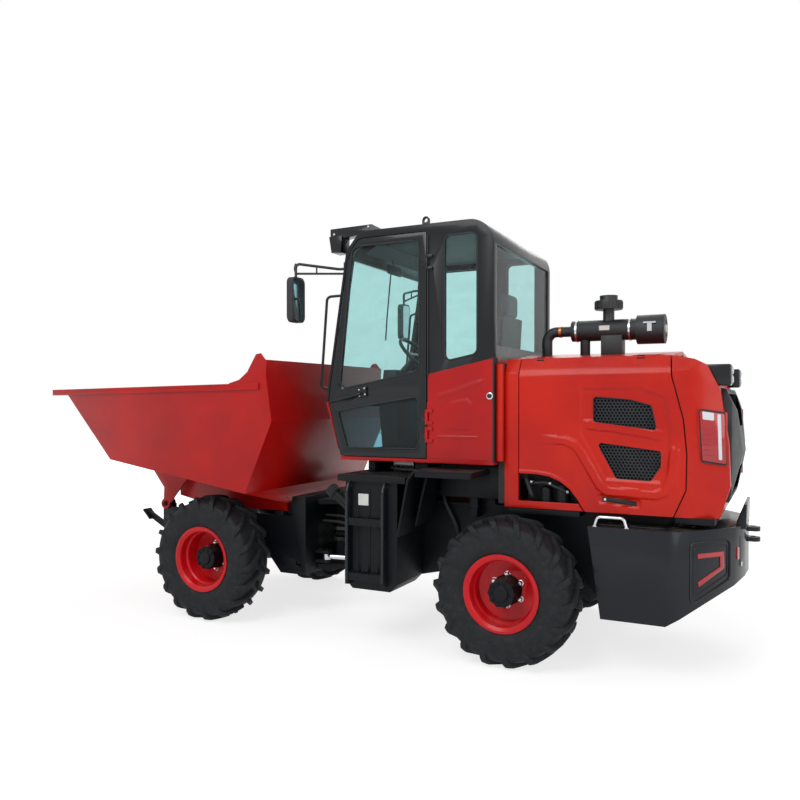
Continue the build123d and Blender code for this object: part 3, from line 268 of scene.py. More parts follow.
def vinyl(name, colour):
    """Seat vinyl with leather grain and soft sheen."""
    shade = Shade(name)
    base = shade.mix(shade.noise(11, 5), colour, tuple(1.9 * c + 0.003 for c in colour[:3]) + (1.0,))
    shade.roughness(shade.noise(40, 5), 0.42, 0.6)
    creases = shade.bump(shade.noise(30, 5, 0.6), 0.2, 0.002)
    normal = shade.bump(cells(shade, 260, "DISTANCE_TO_EDGE"), 0.5, 0.0006, creases)
    return shade.finish(base, normal, Sheen_Weight=0.2, Sheen_Roughness=0.5)


GLASS_IOR = 1.45
DOOR_WAIST_Z = 1.77


def window(name, tint, haze=0.03, painted_reflection_tint=None, low_z=DOOR_WAIST_Z):
    """Thin tinted pane: clear straight on, mirror-like at a slant, with faint smears, and an optional darker
    tint below low_z as a painted reflection.
    """
    shade = Shade(name)
    clear = shade.nodes.new("ShaderNodeBsdfTransparent")
    smear = shade.steps(shade.noise(5, 6, 0.6, (1, 1, 2.5)), 0.45, 0.8)
    colour = shade.mix(smear, tint, tuple(0.96 * c for c in tint[:3]) + (1.0,))
    # Darker tint below low_z: a painted reflection, not a tint of the glass itself.
    if painted_reflection_tint:
        colour = shade.mix(shade.math("LESS_THAN", shade.axis("Z"), low_z), colour, painted_reflection_tint)
    shade.link(colour, clear.inputs["Color"])
    shade.roughness(smear, 0.01, haze)
    shade.finish(linear(235, 245, 246), IOR=GLASS_IOR, Specular_IOR_Level=0.8)
    slant = shade.nodes.new("ShaderNodeFresnel")
    slant.inputs["IOR"].default_value = GLASS_IOR
    face = shade.nodes.new("ShaderNodeNewGeometry")
    front = shade.math("SUBTRACT", 1.0, face.outputs["Backfacing"])
    mirror = shade.math("MULTIPLY", slant.outputs["Fac"], front)
    shade.blend(mirror, clear.outputs["BSDF"], shade.surface.outputs["BSDF"])
    return shade.material


def boundary(shade, x_slope, z_limit):
    """1 below a line that falls towards the front, 0 above it."""
    x = shade.math("SUBTRACT", shade.axis("X"), AXLE_X)
    height = shade.math("ADD", shade.axis("Z"), shade.math("MULTIPLY", x, x_slope))
    return shade.math("LESS_THAN", height, z_limit)


OUTSIDE_Y = 0.65
BACK_X = 0.146
SILL_Z = 1.302
PILLAR_X = 0.606
WAIST_Z = 1.7
QUARTER_SLOPE = 0.2106
QUARTER_Z = 2.022


def cab_paint():
    """Red below the waist line outside, black above it and on everything inside."""
    shade = Shade("cab_paint")
    x = shade.math("SUBTRACT", shade.axis("X"), AXLE_X)
    wide = shade.math("GREATER_THAN", shade.math("ABSOLUTE", shade.axis("Y")), OUTSIDE_Y)
    behind = shade.math("LESS_THAN", x, PILLAR_X)
    quarter = shade.math("MULTIPLY", behind, boundary(shade, QUARTER_SLOPE, QUARTER_Z))
    ahead = shade.math("SUBTRACT", 1.0, behind)
    waist = shade.math("MULTIPLY", ahead, boundary(shade, 0.0, WAIST_Z))
    red = shade.math("MAXIMUM", quarter, waist)
    back = shade.math("LESS_THAN", x, BACK_X)
    sill = shade.math("LESS_THAN", shade.axis("Z"), SILL_Z)
    outside = shade.math("MAXIMUM", shade.math("MAXIMUM", wide, back), sill)
    red = shade.math("MULTIPLY", red, outside)
    drift = shade.steps(shade.noise(2.3, 3), 0.35, 0.68)
    colour = shade.mix(drift, linear(190, 16, 14), linear(170, 12, 14))
    black = shade.mix(drift, linear(7, 11, 16), linear(12, 17, 22))
    base = shade.mix(red, black, colour)
    base = dusty(shade, base, 0.2, ROOF_DUST)
    shade.roughness(shade.noise(14, 6, 0.6), 0.26, 0.42)
    peel = shade.bump(shade.noise(420, 2), 0.05, 0.0004)
    return shade.finish(base, peel, Coat_Weight=0.08, Coat_Roughness=0.08, Specular_IOR_Level=0.26)


skip_red = paint("skip_red", linear(186, 16, 12), linear(166, 12, 12), coat=0.08)
hood_red = paint("hood_red", linear(200, 28, 2), linear(184, 16, 4), coat=0.08)
rim_red = paint("rim_red", linear(208, 12, 26), linear(186, 8, 20), coat=0.1)
cab_red = cab_paint()
gloss_black = paint("gloss_black", linear(7, 11, 16), linear(12, 17, 22), (0.2, 0.36), 0.2, 0.1)
screen_black = casting("screen_black", linear(52, 54, 58), linear(70, 72, 75), (0.4, 0.6), 0.2)
grille_grey = casting("grille_grey", linear(50, 52, 55), linear(64, 66, 68), (0.4, 0.6), 0.2)
soft_rubber = plastic("soft_rubber", linear(14, 15, 17), (0.55, 0.75), 0.2)
lamp_red = paint("lamp_red", linear(190, 22, 34), linear(150, 12, 24), (0.08, 0.2), 0.8, 0.05)
lamp_clear = paint("lamp_clear", linear(228, 232, 236), linear(205, 212, 220), (0.05, 0.15), 0.8, 0.05)
mirror_face = metal("mirror_face", linear(214, 222, 230), (0.02, 0.05))
frame_black = casting("frame_black", linear(6, 10, 15), linear(11, 16, 21), (0.38, 0.6), 0.25)
ballast = paint("ballast", linear(24, 28, 34), linear(18, 22, 28), (0.22, 0.38), 0.15, 0.22, gloss=0.2)
brown = casting("brown", linear(122, 70, 20), linear(90, 52, 20))
black_plastic = plastic("black_plastic", linear(20, 22, 26))
tyre_black = rubber("tyre_black")
chrome = metal("chrome", linear(205, 208, 212))
steel = metal("steel", linear(150, 150, 150), (0.3, 0.5))
copper = metal("copper", linear(176, 110, 62), (0.25, 0.4))
pale = plastic("pale", linear(196, 198, 194), (0.4, 0.6), 0.1)
GLASS_TINT = (0.8, 0.925, 0.92, 1.0)
glass = window("glass", GLASS_TINT)
# The door pane's darker tint below the waist is a painted reflection.
door_pane = window("door_pane", GLASS_TINT, painted_reflection_tint=(0.42, 0.6, 0.66, 1.0))
seat_black = vinyl("seat_black", linear(24, 25, 28))

CAD_FINISH = {
    "skip": skip_red, "cab_shell": cab_red, "hood_top": hood_red, "cowl": hood_red, "tail_cover": hood_red,
    "cab_glass": glass, "counterweight": ballast, "transmission": brown, "seat": seat_black,
    "air_cleaner": black_plastic, "steering_column": black_plastic, "mirrors": black_plastic,
    "work_lamps": gloss_black, "rear_grille": grille_grey,
}
for hand in ("left", "right"):
    CAD_FINISH[f"hood_door_{hand}"] = hood_red
    CAD_FINISH[f"door_glass_{hand}"] = door_pane
    CAD_FINISH[f"cab_door_{hand}"] = gloss_black
    for end in ("rear", "front"):
        CAD_FINISH[f"{end}_{hand}_tyre"] = tyre_black
        CAD_FINISH[f"{end}_{hand}_rim"] = rim_red
    for ram in ("steer", "tip"):
        CAD_FINISH[f"{ram}_{hand}_rod"] = chrome


def new_group(name):
    """Empty geometry node group with its in and out nodes."""
    group = bpy.data.node_groups.new(name, "GeometryNodeTree")
    for way in ("INPUT", "OUTPUT"):
        group.interface.new_socket("Geometry", in_out=way, socket_type="NodeSocketGeometry")
    return group, group.nodes.new("NodeGroupInput"), group.nodes.new("NodeGroupOutput")


def tidy_group():
    """Node group that welds a CAD mesh and drops its stored normals."""
    group, start, end = new_group("weld_cad")
    drop = group.nodes.new("GeometryNodeRemoveAttribute")
    drop.inputs["Name"].default_value = "custom_normal"
    weld = group.nodes.new("GeometryNodeMergeByDistance")
    weld.inputs["Distance"].default_value = 0.00002
    group.links.new(start.outputs[0], drop.inputs["Geometry"])
    group.links.new(drop.outputs["Geometry"], weld.inputs["Geometry"])
    group.links.new(weld.outputs["Geometry"], end.inputs[0])
    return group


def smooth_group(degrees):
    """Node group that shades smooth apart from edges sharper than an angle."""
    group, start, end = new_group("smooth_by_angle")
    faces = group.nodes.new("GeometryNodeSetShadeSmooth")
    faces.inputs["Shade Smooth"].default_value = True
    edges = group.nodes.new("GeometryNodeSetShadeSmooth")
    edges.domain = "EDGE"
    edges.inputs["Shade Smooth"].default_value = False
    angle = group.nodes.new("GeometryNodeInputMeshEdgeAngle")
    over = group.nodes.new("ShaderNodeMath")
    over.operation = "GREATER_THAN"
    over.inputs[1].default_value = math.radians(degrees)
    group.links.new(start.outputs[0], faces.inputs["Geometry"])
    group.links.new(faces.outputs["Geometry"], edges.inputs["Geometry"])
    group.links.new(angle.outputs["Unsigned Angle"], over.inputs[0])
    group.links.new(over.outputs[0], edges.inputs["Selection"])
    group.links.new(edges.outputs["Geometry"], end.inputs[0])
    return group


WELD = tidy_group()
SHARP_DEGREES = 32
SMOOTH = smooth_group(SHARP_DEGREES)


def add_smooth(piece):
    modifier = piece.modifiers.new("smooth", "NODES")
    modifier.node_group = SMOOTH


def add_bevel(piece, width, segments=2):
    modifier = piece.modifiers.new("bevel", "BEVEL")
    modifier.width = width
    modifier.segments = segments
    modifier.limit_method = "ANGLE"
    modifier.angle_limit = math.radians(SHARP_DEGREES)


CAD_BEVEL = {"skip": 0.003, "counterweight": 0.006, "hood_top": 0.004, "tail_cover": 0.004, "cowl": 0.003,
             "seat": 0.03, "cab_shell": 0.004, "cab_door_left": 0.003, "cab_door_right": 0.003}


def dress_cad():
    """Material and rounded edges on every CAD node that stays in view."""
    for name, piece in nodes.items():
        piece.data.materials.clear()
        piece.data.materials.append(CAD_FINISH.get(name, frame_black))
        weld = piece.modifiers.new("weld", "NODES")
        weld.node_group = WELD
        if "glass" not in name and "tyre" not in name:
            flat = piece.modifiers.new("flat", "DECIMATE")
            flat.decimate_type = "DISSOLVE"
            flat.angle_limit = math.radians(0.8)
            add_bevel(piece, CAD_BEVEL.get(name, 0.002))
        add_smooth(piece)


dress_cad()


# ---- shapes -----------------------------------------------------------------------


def rounded(points, bend, steps=6):
    """Points of a path with each corner replaced by an arc of radius bend, or as large as fits."""
    path = [Vector(points[0])]
    for i in range(1, len(points) - 1):
        before, corner, after = (Vector(points[k]) for k in (i - 1, i, i + 1))
        way_in = (before - corner).normalized()
        way_out = (after - corner).normalized()
        half = way_in.angle(way_out) / 2
        reach = min(bend / math.tan(half), 0.48 * (before - corner).length, 0.48 * (after - corner).length)
        centre = corner + (way_in + way_out).normalized() * (reach / math.cos(half))
        start = corner + way_in * reach - centre
        stop = corner + way_out * reach - centre
        turn = start.angle(stop)
        for k in range(steps + 1):
            share = k / steps
            a = math.sin((1 - share) * turn) / math.sin(turn)
            b = math.sin(share * turn) / math.sin(turn)
            path.append(centre + start * a + stop * b)
    path.append(Vector(points[-1]))
    return path


# Where an outline's two values and a depth go, by the axis that the outline is pushed along.
AXES = {
    "X": lambda u, v, depth: (depth, u, v),
    "Y": lambda u, v, depth: (u, depth, v),
    "Z": lambda u, v, depth: (u, v, depth),
}


def shell(rings, count):
    """Faces between rings of points that follow one another, and a cap at both ends."""
    last = (rings - 1) * count
    sides = [
        [a + k, a + (k + 1) % count, a + count + (k + 1) % count, a + count + k]
        for a in range(0, last, count) for k in range(count)]
    return sides + [list(range(count)), list(range(last, last + count))]


def around(count, radius, start=0.0):
    """Points evenly round a circle, as (across, up)."""
    angles = [start + 2 * math.pi * k / count for k in range(count)]
    return [(radius * math.cos(angle), radius * math.sin(angle)) for angle in angles]


class Build:
    """Vertices and faces of one piece, in metres from under the rear axle; side 1 is left, -1 mirrors it."""

    def __init__(self, side=0):
        self.side = side or 1
        self.hand = ("", "left", "right")[side]
        self.points = []
        self.faces = []

    def add(self, points, faces):
        start = len(self.points)
        self.points += [at(p[0], p[1] * self.side, p[2]) for p in points]
        self.faces += [[start + i for i in face] for face in faces]

    def box(self, x0, x1, y0, y1, z0, z1):
        outline = [(x0, z0), (x1, z0), (x1, z1), (x0, z1)]
        self.prism(outline, "Y", y0, y1)

    def prism(self, outline, axis, low, high):
        """Outline in the plane across an axis, given as (X, Z), (X, Y) or (Y, Z)."""
        points = [AXES[axis](u, v, depth) for depth in (low, high) for u, v in outline]
        self.add(points, shell(2, len(outline)))

    def lathe(self, profile, centre, axis, steps=48, closed=False):
        """Profile of (along, radius) turned about an axis through centre; ends are capped if open."""
        way = Vector(axis).normalized()
        across = way.orthogonal().normalized()
        other = way.cross(across)
        points = []
        for u, v in around(steps, 1.0):
            out = across * u + other * v
            points += [Vector(centre) + way * a + out * r for a, r in profile]
        count = len(profile)
        spans = count if closed else count - 1
        faces = []
        for k in range(steps):
            a = k * count
            b = ((k + 1) % steps) * count
            faces += [[a + i, a + (i + 1) % count, b + (i + 1) % count, b + i] for i in range(spans)]
        if not closed:
            faces += [[k * count for k in range(steps)], [k * count + count - 1 for k in range(steps)]]
        self.add(points, faces)

    def disc(self, centre, axis, radius, depth, steps=24, soft=0.0):
        """Short round bar from centre along an axis, its far edge rounded by soft."""
        profile = [(0, radius), (depth - soft, radius)]
        if soft:
            profile += [(depth - 0.3 * soft, radius - 0.3 * soft), (depth, radius - soft)]
        self.lathe(profile, centre, axis, steps)

    def band(self, inner, outer, wide, centre, axis, steps):
        """Flat ring round an axis, between two radii."""
        self.lathe([(0, inner), (0, outer), (wide, outer), (wide, inner)], centre, axis, steps, closed=True)

    def tube(self, points, radius, bend=0.05, steps=12, corner_steps=6):
        """Round bar along a route with rounded corners."""
        path = rounded(points, bend, corner_steps)
        self.sweep(path, radius, steps)

    def sweep(self, path, radius, steps=12):
        """Round bar through every point of a path; radius may be a function of the share along it."""
        size = radius if callable(radius) else (lambda share: radius)
        count = len(path)
        out = (path[1] - path[0]).normalized().orthogonal().normalized()
        points = []
        for i, place in enumerate(path):
            way = (path[min(i + 1, count - 1)] - path[max(i - 1, 0)]).normalized()
            out = (out - way * out.dot(way)).normalized()
            side = way.cross(out)
            points += [place + out * u + side * v for u, v in around(steps, size(i / (count - 1)))]
        self.add(points, shell(count, steps))

    def bolts(self, places, axis, radius, height, sides=6):
        for place in places:
            self.lathe([(0, radius), (height * 0.8, radius), (height, radius * 0.8)], place, axis, sides)

    def done(self, name, material, body="rear", bevel=0.0, segments=2):
        """Make the piece; a name or body that ends in _ gets the side's word added."""
        name += self.hand
        mesh = bpy.data.meshes.new(name)
        mesh.from_pydata([tuple(p) for p in self.points], [], self.faces)
        work = bmesh.new()
        work.from_mesh(mesh)
        bmesh.ops.recalc_face_normals(work, faces=work.faces)
        work.to_mesh(mesh)
        work.free()
        piece = bpy.data.objects.new(name, mesh)
        bpy.context.scene.collection.objects.link(piece)
        mesh.materials.append(material)
        if bevel:
            add_bevel(piece, bevel, segments)
        add_smooth(piece)
        if body:
            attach(piece, body + self.hand if body.endswith("_") else body)
        return piece


# ---- wheels -----------------------------------------------------------------------

LUGS = 18
TYRE_STEPS = 96
LUG_SINK = 0.004
LUG_FOOT = 1.25
LUG_TOP = 0.92
BEAD_Y = 0.132
# Carcass from bead to crown: (distance from the middle plane, radius).
CARCASS = [
    (0.128, 0.2285), (BEAD_Y, 0.234), (0.134, 0.258), (0.142, 0.268), (0.147, 0.274), (0.149, 0.286),
    (0.1515, 0.29), (0.1535, 0.312), (0.1545, 0.345), (0.1535, 0.375), (0.15, 0.4), (0.143, 0.42),
    (0.131, 0.435), (0.108, 0.443), (0.07, 0.447), (0.03, 0.449), (0.0, 0.4495),
]
# One lug from the middle to the sidewall: (distance from the middle plane, carcass radius,
# slant of its height from straight out towards the side in degrees, height, half width, run behind its nose).
LUG_STATIONS = [
    (0.004, 0.446, 0, 0.036, 0.0135, 0.0),
    (0.034, 0.446, 0, 0.0355, 0.015, 0.034),
    (0.068, 0.444, 4, 0.0355, 0.0165, 0.068),
    (0.1, 0.44, 12, 0.037, 0.018, 0.092),
    (0.122, 0.432, 26, 0.037, 0.0195, 0.105),
    (0.136, 0.42, 46, 0.026, 0.0205, 0.112),
    (0.145, 0.402, 66, 0.012, 0.02, 0.117),
    (0.149, 0.38, 80, 0.006, 0.018, 0.121),
]


def wheel_centre(end, hand):
    x = WHEELBASE if end == "front" else 0.0
    return x, TRACK / 2 * (1 if hand == "left" else -1), WHEEL_Z


def make_tyre(end, hand):
    """Tractor-tread tyre: carcass turned about its axle, bar lugs in a chevron that leads at the top."""
    cx, cy, cz = wheel_centre(end, hand)
    build = Build()
    profile = CARCASS + [(-y, r) for y, r in reversed(CARCASS[:-1])]
    build.lathe(profile, (cx, cy, cz), (0, 1, 0), TYRE_STEPS, closed=True)
    for side in (1, -1):
        for k in range(LUGS):
            nose = 2 * math.pi * (k + (0.5 if side < 0 else 0.0)) / LUGS
            points = []
            for y, r, slant, height, wide, run in LUG_STATIONS:
                out_y = math.sin(math.radians(slant))
                out_r = math.cos(math.radians(slant))
                for lift, spread in ((-LUG_SINK, LUG_FOOT), (height, LUG_TOP)):
                    for way in (-1, 1):
                        radius = r + out_r * lift
                        offset = (run + way * wide * spread) / (r + out_r * max(lift, 0) * 0.5)
                        angle = nose + offset
                        points.append((
                            cx - radius * math.sin(angle), cy + side * (y + out_y * lift),
                            cz + radius * math.cos(angle)))
            faces = []
            for i in range(len(LUG_STATIONS) - 1):
                a = 4 * i
                b = a + 4
                faces += [
                    [a + 2, a + 3, b + 3, b + 2], [a, b, b + 2, a + 2], [a + 1, a + 3, b + 3, b + 1],
                    [a, a + 1, b + 1, b]]
            last = 4 * (len(LUG_STATIONS) - 1)
            faces += [[0, 1, 3, 2], [last, last + 2, last + 3, last + 1]]
            build.add(points, faces)
    piece = build.done(f"tyre_{end}_{hand}", tyre_black, f"{end}_{hand}_wheel", bevel=0.0035)
    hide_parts(f"{end}_{hand}_tyre")


HUB_PROFILE = [
    (0.0005, 0.099), (0.014, 0.099), (0.018, 0.092), (0.088, 0.089), (0.092, 0.086), (0.131, 0.086),
    (0.134, 0.082), (0.134, 0.05), (0.146, 0.048), (0.151, 0.043), (0.151, 0.0005),
]
HUB_BOLTS = 10
HUB_PCD_R = 0.074
STUDS = 6
STUD_PCD_R = 0.1025
DISC_INSET = {"rear": 0.15, "front": 0.19}
RIM_HALF = 0.14


def make_hub(end, hand):
    """Black planetary hub with a scalloped bolt flange, bolts and end cap, and the six wheel nuts."""
    cx, cy, cz = wheel_centre(end, hand)
    side = 1 if hand == "left" else -1
    disc_y = cy + side * (RIM_HALF - DISC_INSET[end])
    out = (0, side, 0)
    body = f"{end}_{hand}_wheel"
    hub = Build()
    hub.lathe(HUB_PROFILE, (cx, disc_y, cz), out, 48)
    ring_places = around(HUB_BOLTS, HUB_PCD_R)
    for u, v in ring_places:
        hub.disc((cx + u, disc_y + side * 0.088, cz + v), out, 0.0165, 0.05, 16, 0.003)
    hub.done(f"hub_{end}_{hand}", frame_black, body, bevel=0.0015, segments=1)
    bolts = Build()
    for u, v in ring_places:
        bolts.bolts([(cx + u, disc_y + side * 0.137, cz + v)], out, 0.0085, 0.008)
    bolts.done(f"hub_bolts_{end}_{hand}", frame_black, body)
    nuts = Build()
    for u, v in around(STUDS, STUD_PCD_R, math.radians(30)):
        place = (cx + u, disc_y, cz + v)
        nuts.disc(place, out, 0.021, 0.004, 20, 0.001)
        nuts.bolts([place], out, 0.0165, 0.022)
        nuts.disc(place, out, 0.0115, 0.0295, 14, 0.002)
    nuts.done(f"wheel_nuts_{end}_{hand}", chrome, body, bevel=0.0008, segments=1)


for end in ("rear", "front"):
    for hand in ("left", "right"):
        make_tyre(end, hand)
        make_hub(end, hand)


# ---- sheet panels -------------------------------------------------------------------


def within(x, z, loop):
    """Whether a point lies inside a closed outline."""
    hit = False
    for i in range(len(loop)):
        x0, z0 = loop[i - 1]
        x1, z1 = loop[i]
        if (z0 > z) != (z1 > z) and x < x0 + (z - z0) * (x1 - x0) / (z1 - z0):
            hit = not hit
    return hit


def away(x, z, line):
    """Distance of a point from an open line of points."""
    best = 9.0
    for (x0, z0), (x1, z1) in zip(line, line[1:]):
        dx, dz = x1 - x0, z1 - z0
        share = max(0.0, min(1.0, ((x - x0) * dx + (z - z0) * dz) / (dx * dx + dz * dz)))
        best = min(best, math.hypot(x - x0 - share * dx, z - z0 - share * dz))
    return best


def ease(value, low, high):
    """0 below low, 1 above high, smooth between."""
    share = max(0.0, min(1.0, (value - low) / (high - low)))
    return share * share * (3 - 2 * share)


def basin(x, z, loop, slope):
    """1 well inside an outline, 0 outside, smooth over a slope."""
    if not within(x, z, loop):
        return 0.0
    return ease(away(x, z, loop + loop[:1]), 0.0, slope)


def dotted(loop, pitch):
    """Closed outline with points added along its sides."""
    points = []
    for i in range(len(loop)):
        a, b = Vector(loop[i - 1]), Vector(loop[i])
        count = max(1, round((b - a).length / pitch))
        points += [tuple(a.lerp(b, k / count)) for k in range(count)]
    return points


def soften(loop, bend, steps=5):
    """Closed outline with its corners rounded."""
    middle_point = (Vector(loop[-1]) + Vector(loop[0])) / 2
    path = [(*middle_point, 0)] + [(u, v, 0) for u, v in loop] + [(*middle_point, 0)]
    return [(p.x, p.y) for p in rounded(path, bend, steps)[:-1]]


def panel(build, outline, holes, depth, thick, pitch):
    """Closed sheet over an (X, Z) outline with holes; depth(x, z) gives the Y of its outer face."""
    loops = [dotted(outline, pitch)] + [dotted(hole, pitch) for hole in holes]
    points, edges = [], []
    for loop in loops:
        start = len(points)
        points += [Vector(p) for p in loop]
        edges += [(start + i, start + (i + 1) % len(loop)) for i in range(len(loop))]
    xs = [p[0] for p in outline]
    zs = [p[1] for p in outline]
    for i in range(int((max(xs) - min(xs)) / pitch) + 1):
        for k in range(int((max(zs) - min(zs)) / pitch) + 1):
            x = min(xs) + (i + 0.5 * (k % 2)) * pitch
            z = min(zs) + k * pitch
            if not within(x, z, loops[0]) or any(within(x, z, hole) for hole in loops[1:]):
                continue
            points.append(Vector((x, z)))
    flat, _, faces, *_ = delaunay_2d_cdt(points, edges, [], 0, 1e-7)
    kept = []
    for face in faces:
        x = sum(flat[i].x for i in face) / len(face)
        z = sum(flat[i].y for i in face) / len(face)
        if within(x, z, loops[0]) and not any(within(x, z, hole) for hole in loops[1:]):
            kept.append(list(face))
    count = len(flat)
    outer = [(p.x, depth(p.x, p.y), p.y) for p in flat]
    inner = [(x, y - thick, z) for x, y, z in outer]
    used = {}
    for face in kept:
        for i in range(len(face)):
            edge = (face[i - 1], face[i])
            used[edge] = True
    walls = [[a, b, count + b, count + a] for a, b in used if (b, a) not in used]
    back = [[count + i for i in reversed(face)] for face in kept]
    build.add(outer + inner, kept + back + walls)


def ring(build, loop, y, radius, steps=8):
    """Round seal along a closed (X, Z) outline."""
    path = [Vector((u, y, v)) for u, v in loop]
    start = len(path) // 2
    path = path[start:] + path[:start + 1]
    build.sweep(path, radius, steps)


# ---- hood ---------------------------------------------------------------------------

HOOD_Y = 0.6
HOOD_LOW_Z = 1.0
CREASE_Z = 1.895
EDGE_Z = 1.9925
DOOR_SLOPE = (HOOD_Y - 0.535) / (1.99 - CREASE_Z)
REAR_GAP = [(-1.002, HOOD_LOW_Z), (-1.073, 1.166), (-1.077, 1.382), (-1.056, 1.598), (-0.988, 1.859)]
ARCH = [
    (-0.028, 1.23), (-0.15, 1.228), (-0.233, 1.216), (-0.305, 1.187), (-0.369, 1.139), (-0.42, 1.075),
    (-0.459, 1.011),
]
DOOR_OUTLINE = [(-0.028, EDGE_Z)] + ARCH + [(-0.47, HOOD_LOW_Z)] + REAR_GAP + [(-0.977, EDGE_Z)]
UPPER_VENT = [(-0.515, 1.735), (-0.736, 1.717), (-0.87, 1.68), (-0.906, 1.526), (-0.515, 1.575)]
LOWER_VENT = [(-0.534, 1.447), (-0.93, 1.4), (-0.93, 1.302), (-0.871, 1.212), (-0.659, 1.218)]
SWOOSH = [
    (-0.12, 1.462), (-0.33, 1.452), (-0.4, 1.425), (-0.44, 1.375), (-0.56, 1.17), (-0.6, 1.14),
    (-0.9, 1.128), (-0.955, 1.15), (-0.99, 1.215), (-1.012, 1.4),
]
RIDGE = [(-0.43, 1.56), (-0.64, 1.542), (-0.985, 1.485)]
VENT_FIELD = [
    (-0.42, 1.8), (-0.42, 1.5), (-0.585, 1.2), (-0.935, 1.192), (-0.985, 1.27), (-1.0, 1.56),
    (-0.955, 1.745), (-0.8, 1.8),
]
LATCH_FIELD = [(-0.545, 1.118), (-0.545, 1.06), (-0.815, 1.036), (-0.815, 1.094)]
PRESS = 0.011
FIELD_DEPTH = 0.012
SHEET_T = 0.02
PANEL_PITCH = 0.009
VENT_SEAL_R = 0.004
HOOD_HINGE_XS = (-0.155, -0.8)
HOOD_HINGE_Y = 0.526
HOOD_HINGE_Z = 1.99


def door_y(x, z):
    """Outer face of the left hood door: pressed ridges, vent field and latch recess."""
    y = HOOD_Y - DOOR_SLOPE * max(0.0, z - CREASE_Z)
    y -= 0.006 * math.exp(-((z - CREASE_Z) / 0.018) ** 2)
    crease = 1.868 + 0.012 * x / -0.95
    shelf = ease(-x, 0.03, 0.3) * ease(x, -1.02, -0.94)
    y -= 0.007 * ease(crease - z, 0.0, 0.022) * ease(z, 1.45, 1.84) * shelf
    y -= FIELD_DEPTH * basin(x, z, VENT_FIELD, 0.03)
    near = away(x, z, RIDGE)
    y += PRESS * (1 - ease(near, 0.02, 0.036)) * ease(x, -0.985, -0.88) * ease(-x, 0.42, 0.5)
    swoosh = away(x, z, SWOOSH)
    y += PRESS * (1 - ease(swoosh, 0.018, 0.034)) * ease(-x, 0.1, 0.34)
    y -= 0.01 * basin(x, z, LATCH_FIELD, 0.01)
    y += 0.007 * (1 - ease(away(x, z, ARCH), 0.01, 0.03))
    return y


def make_hood_door(side):
    body = "hood_door_"
    skin = Build(side)
    vents = [soften(UPPER_VENT, 0.018), soften(LOWER_VENT, 0.018)]
    panel(skin, DOOR_OUTLINE, vents, door_y, SHEET_T, PANEL_PITCH)
    piece = skin.done("hood_door_skin_", hood_red, body)
    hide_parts(f"hood_door_{skin.hand}")
    hinges = Build(side)
    for x in HOOD_HINGE_XS:
        hinges.lathe([(-0.025, 0.009), (0.025, 0.009)], (x, HOOD_HINGE_Y, HOOD_HINGE_Z), (1, 0, 0), 16)
        hinges.box(x - 0.025, x + 0.025, HOOD_HINGE_Y, 0.546, 1.972, 1.982)
    hinges.done("hood_hinges_", frame_black, body, bevel=0.001, segments=1)
    seals = Build(side)
    for vent in vents:
        ring(seals, vent, HOOD_Y - 0.016, VENT_SEAL_R, 6)
    seals.done("vent_seals_", soft_rubber, body)
    latch = Build(side)
    latch.prism([(-0.575, 1.104), (-0.575, 1.074), (-0.785, 1.053), (-0.785, 1.083)], "Y", 0.586, 0.596)
    latch.prism([(-0.615, 1.094), (-0.615, 1.076), (-0.775, 1.06), (-0.775, 1.077)], "Y", 0.594, 0.606)
    latch.done("hood_latch_", gloss_black, body, bevel=0.003)
    button = Build(side)
    button.disc((-0.594, 0.594, 1.086), (0, 1, 0), 0.009, 0.012, 18, 0.003)
    button.done("hood_latch_button_", chrome, body)


MESH_PITCH = 0.022
MESH_BAR = 0.005
MESH_YS = (0.5744, 0.57)
CELL_FACES = []
for i in range(6):
    k = (i + 1) % 6
    CELL_FACES += [[i, k, 6 + k, 6 + i], [12 + i, 18 + i, 18 + k, 12 + k], [6 + i, 6 + k, 18 + k, 18 + i]]


def make_vent_mesh(side):
    """Hexagon-perforated steel behind both vents."""
    mesh = Build(side)
    hole_r = (MESH_PITCH - MESH_BAR) / 2 / math.cos(math.pi / 6)
    cell_r = MESH_PITCH / 2 / math.cos(math.pi / 6)
    for vent in (UPPER_VENT, LOWER_VENT):
        xs = [p[0] for p in vent]
        zs = [p[1] for p in vent]
        rows = int((max(zs) - min(zs)) / (cell_r * 1.5)) + 2
        columns = int((max(xs) - min(xs)) / MESH_PITCH) + 2
        for row in range(rows):
            for column in range(columns):
                x = min(xs) - MESH_PITCH / 2 + (column + 0.5 * (row % 2)) * MESH_PITCH
                z = min(zs) - cell_r / 2 + row * cell_r * 1.5
                if not within(x, z, vent) and away(x, z, vent + vent[:1]) > 0.01:
                    continue
                corners = [(math.sin(math.pi / 3 * i), math.cos(math.pi / 3 * i)) for i in range(6)]
                points = []
                for y in MESH_YS:
                    points += [(x + cell_r * u, y, z + cell_r * v) for u, v in corners]
                    points += [(x + hole_r * u, y, z + hole_r * v) for u, v in corners]
                mesh.add(points, CELL_FACES)
    piece = mesh.done("vent_screen_", screen_black, "hood_door_")
    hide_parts(f"vent_mesh_{mesh.hand}")


for side in (1, -1):
    make_hood_door(side)
    make_vent_mesh(side)

# ---- upright facets -----------------------------------------------------------------


def facet(start, stop):
    """Places on an upright facet given in plan: distance along it, height, distance outward."""
    first = Vector(start)
    way = (Vector(stop) - first).normalized()
    out = Vector((way.y, -way.x))

    def place(along, z, off):
        spot = first + way * along + out * off
        return (spot.x, spot.y, z)
    return place


def plate(build, loop, low, high, place):
    """Flat plate with an outline on a facet, between two distances outward."""
    points = [place(u, z, off) for off in (low, high) for u, z in loop]
    build.add(points, shell(2, len(loop)))


def bead(build, loop, off, radius, place, steps=8):
    """Round bead along an outline on a facet."""
    path = [Vector(place(u, z, off)) for u, z in loop]
    build.sweep(path + path[:1], radius, steps)


# ---- counterweight ------------------------------------------------------------------

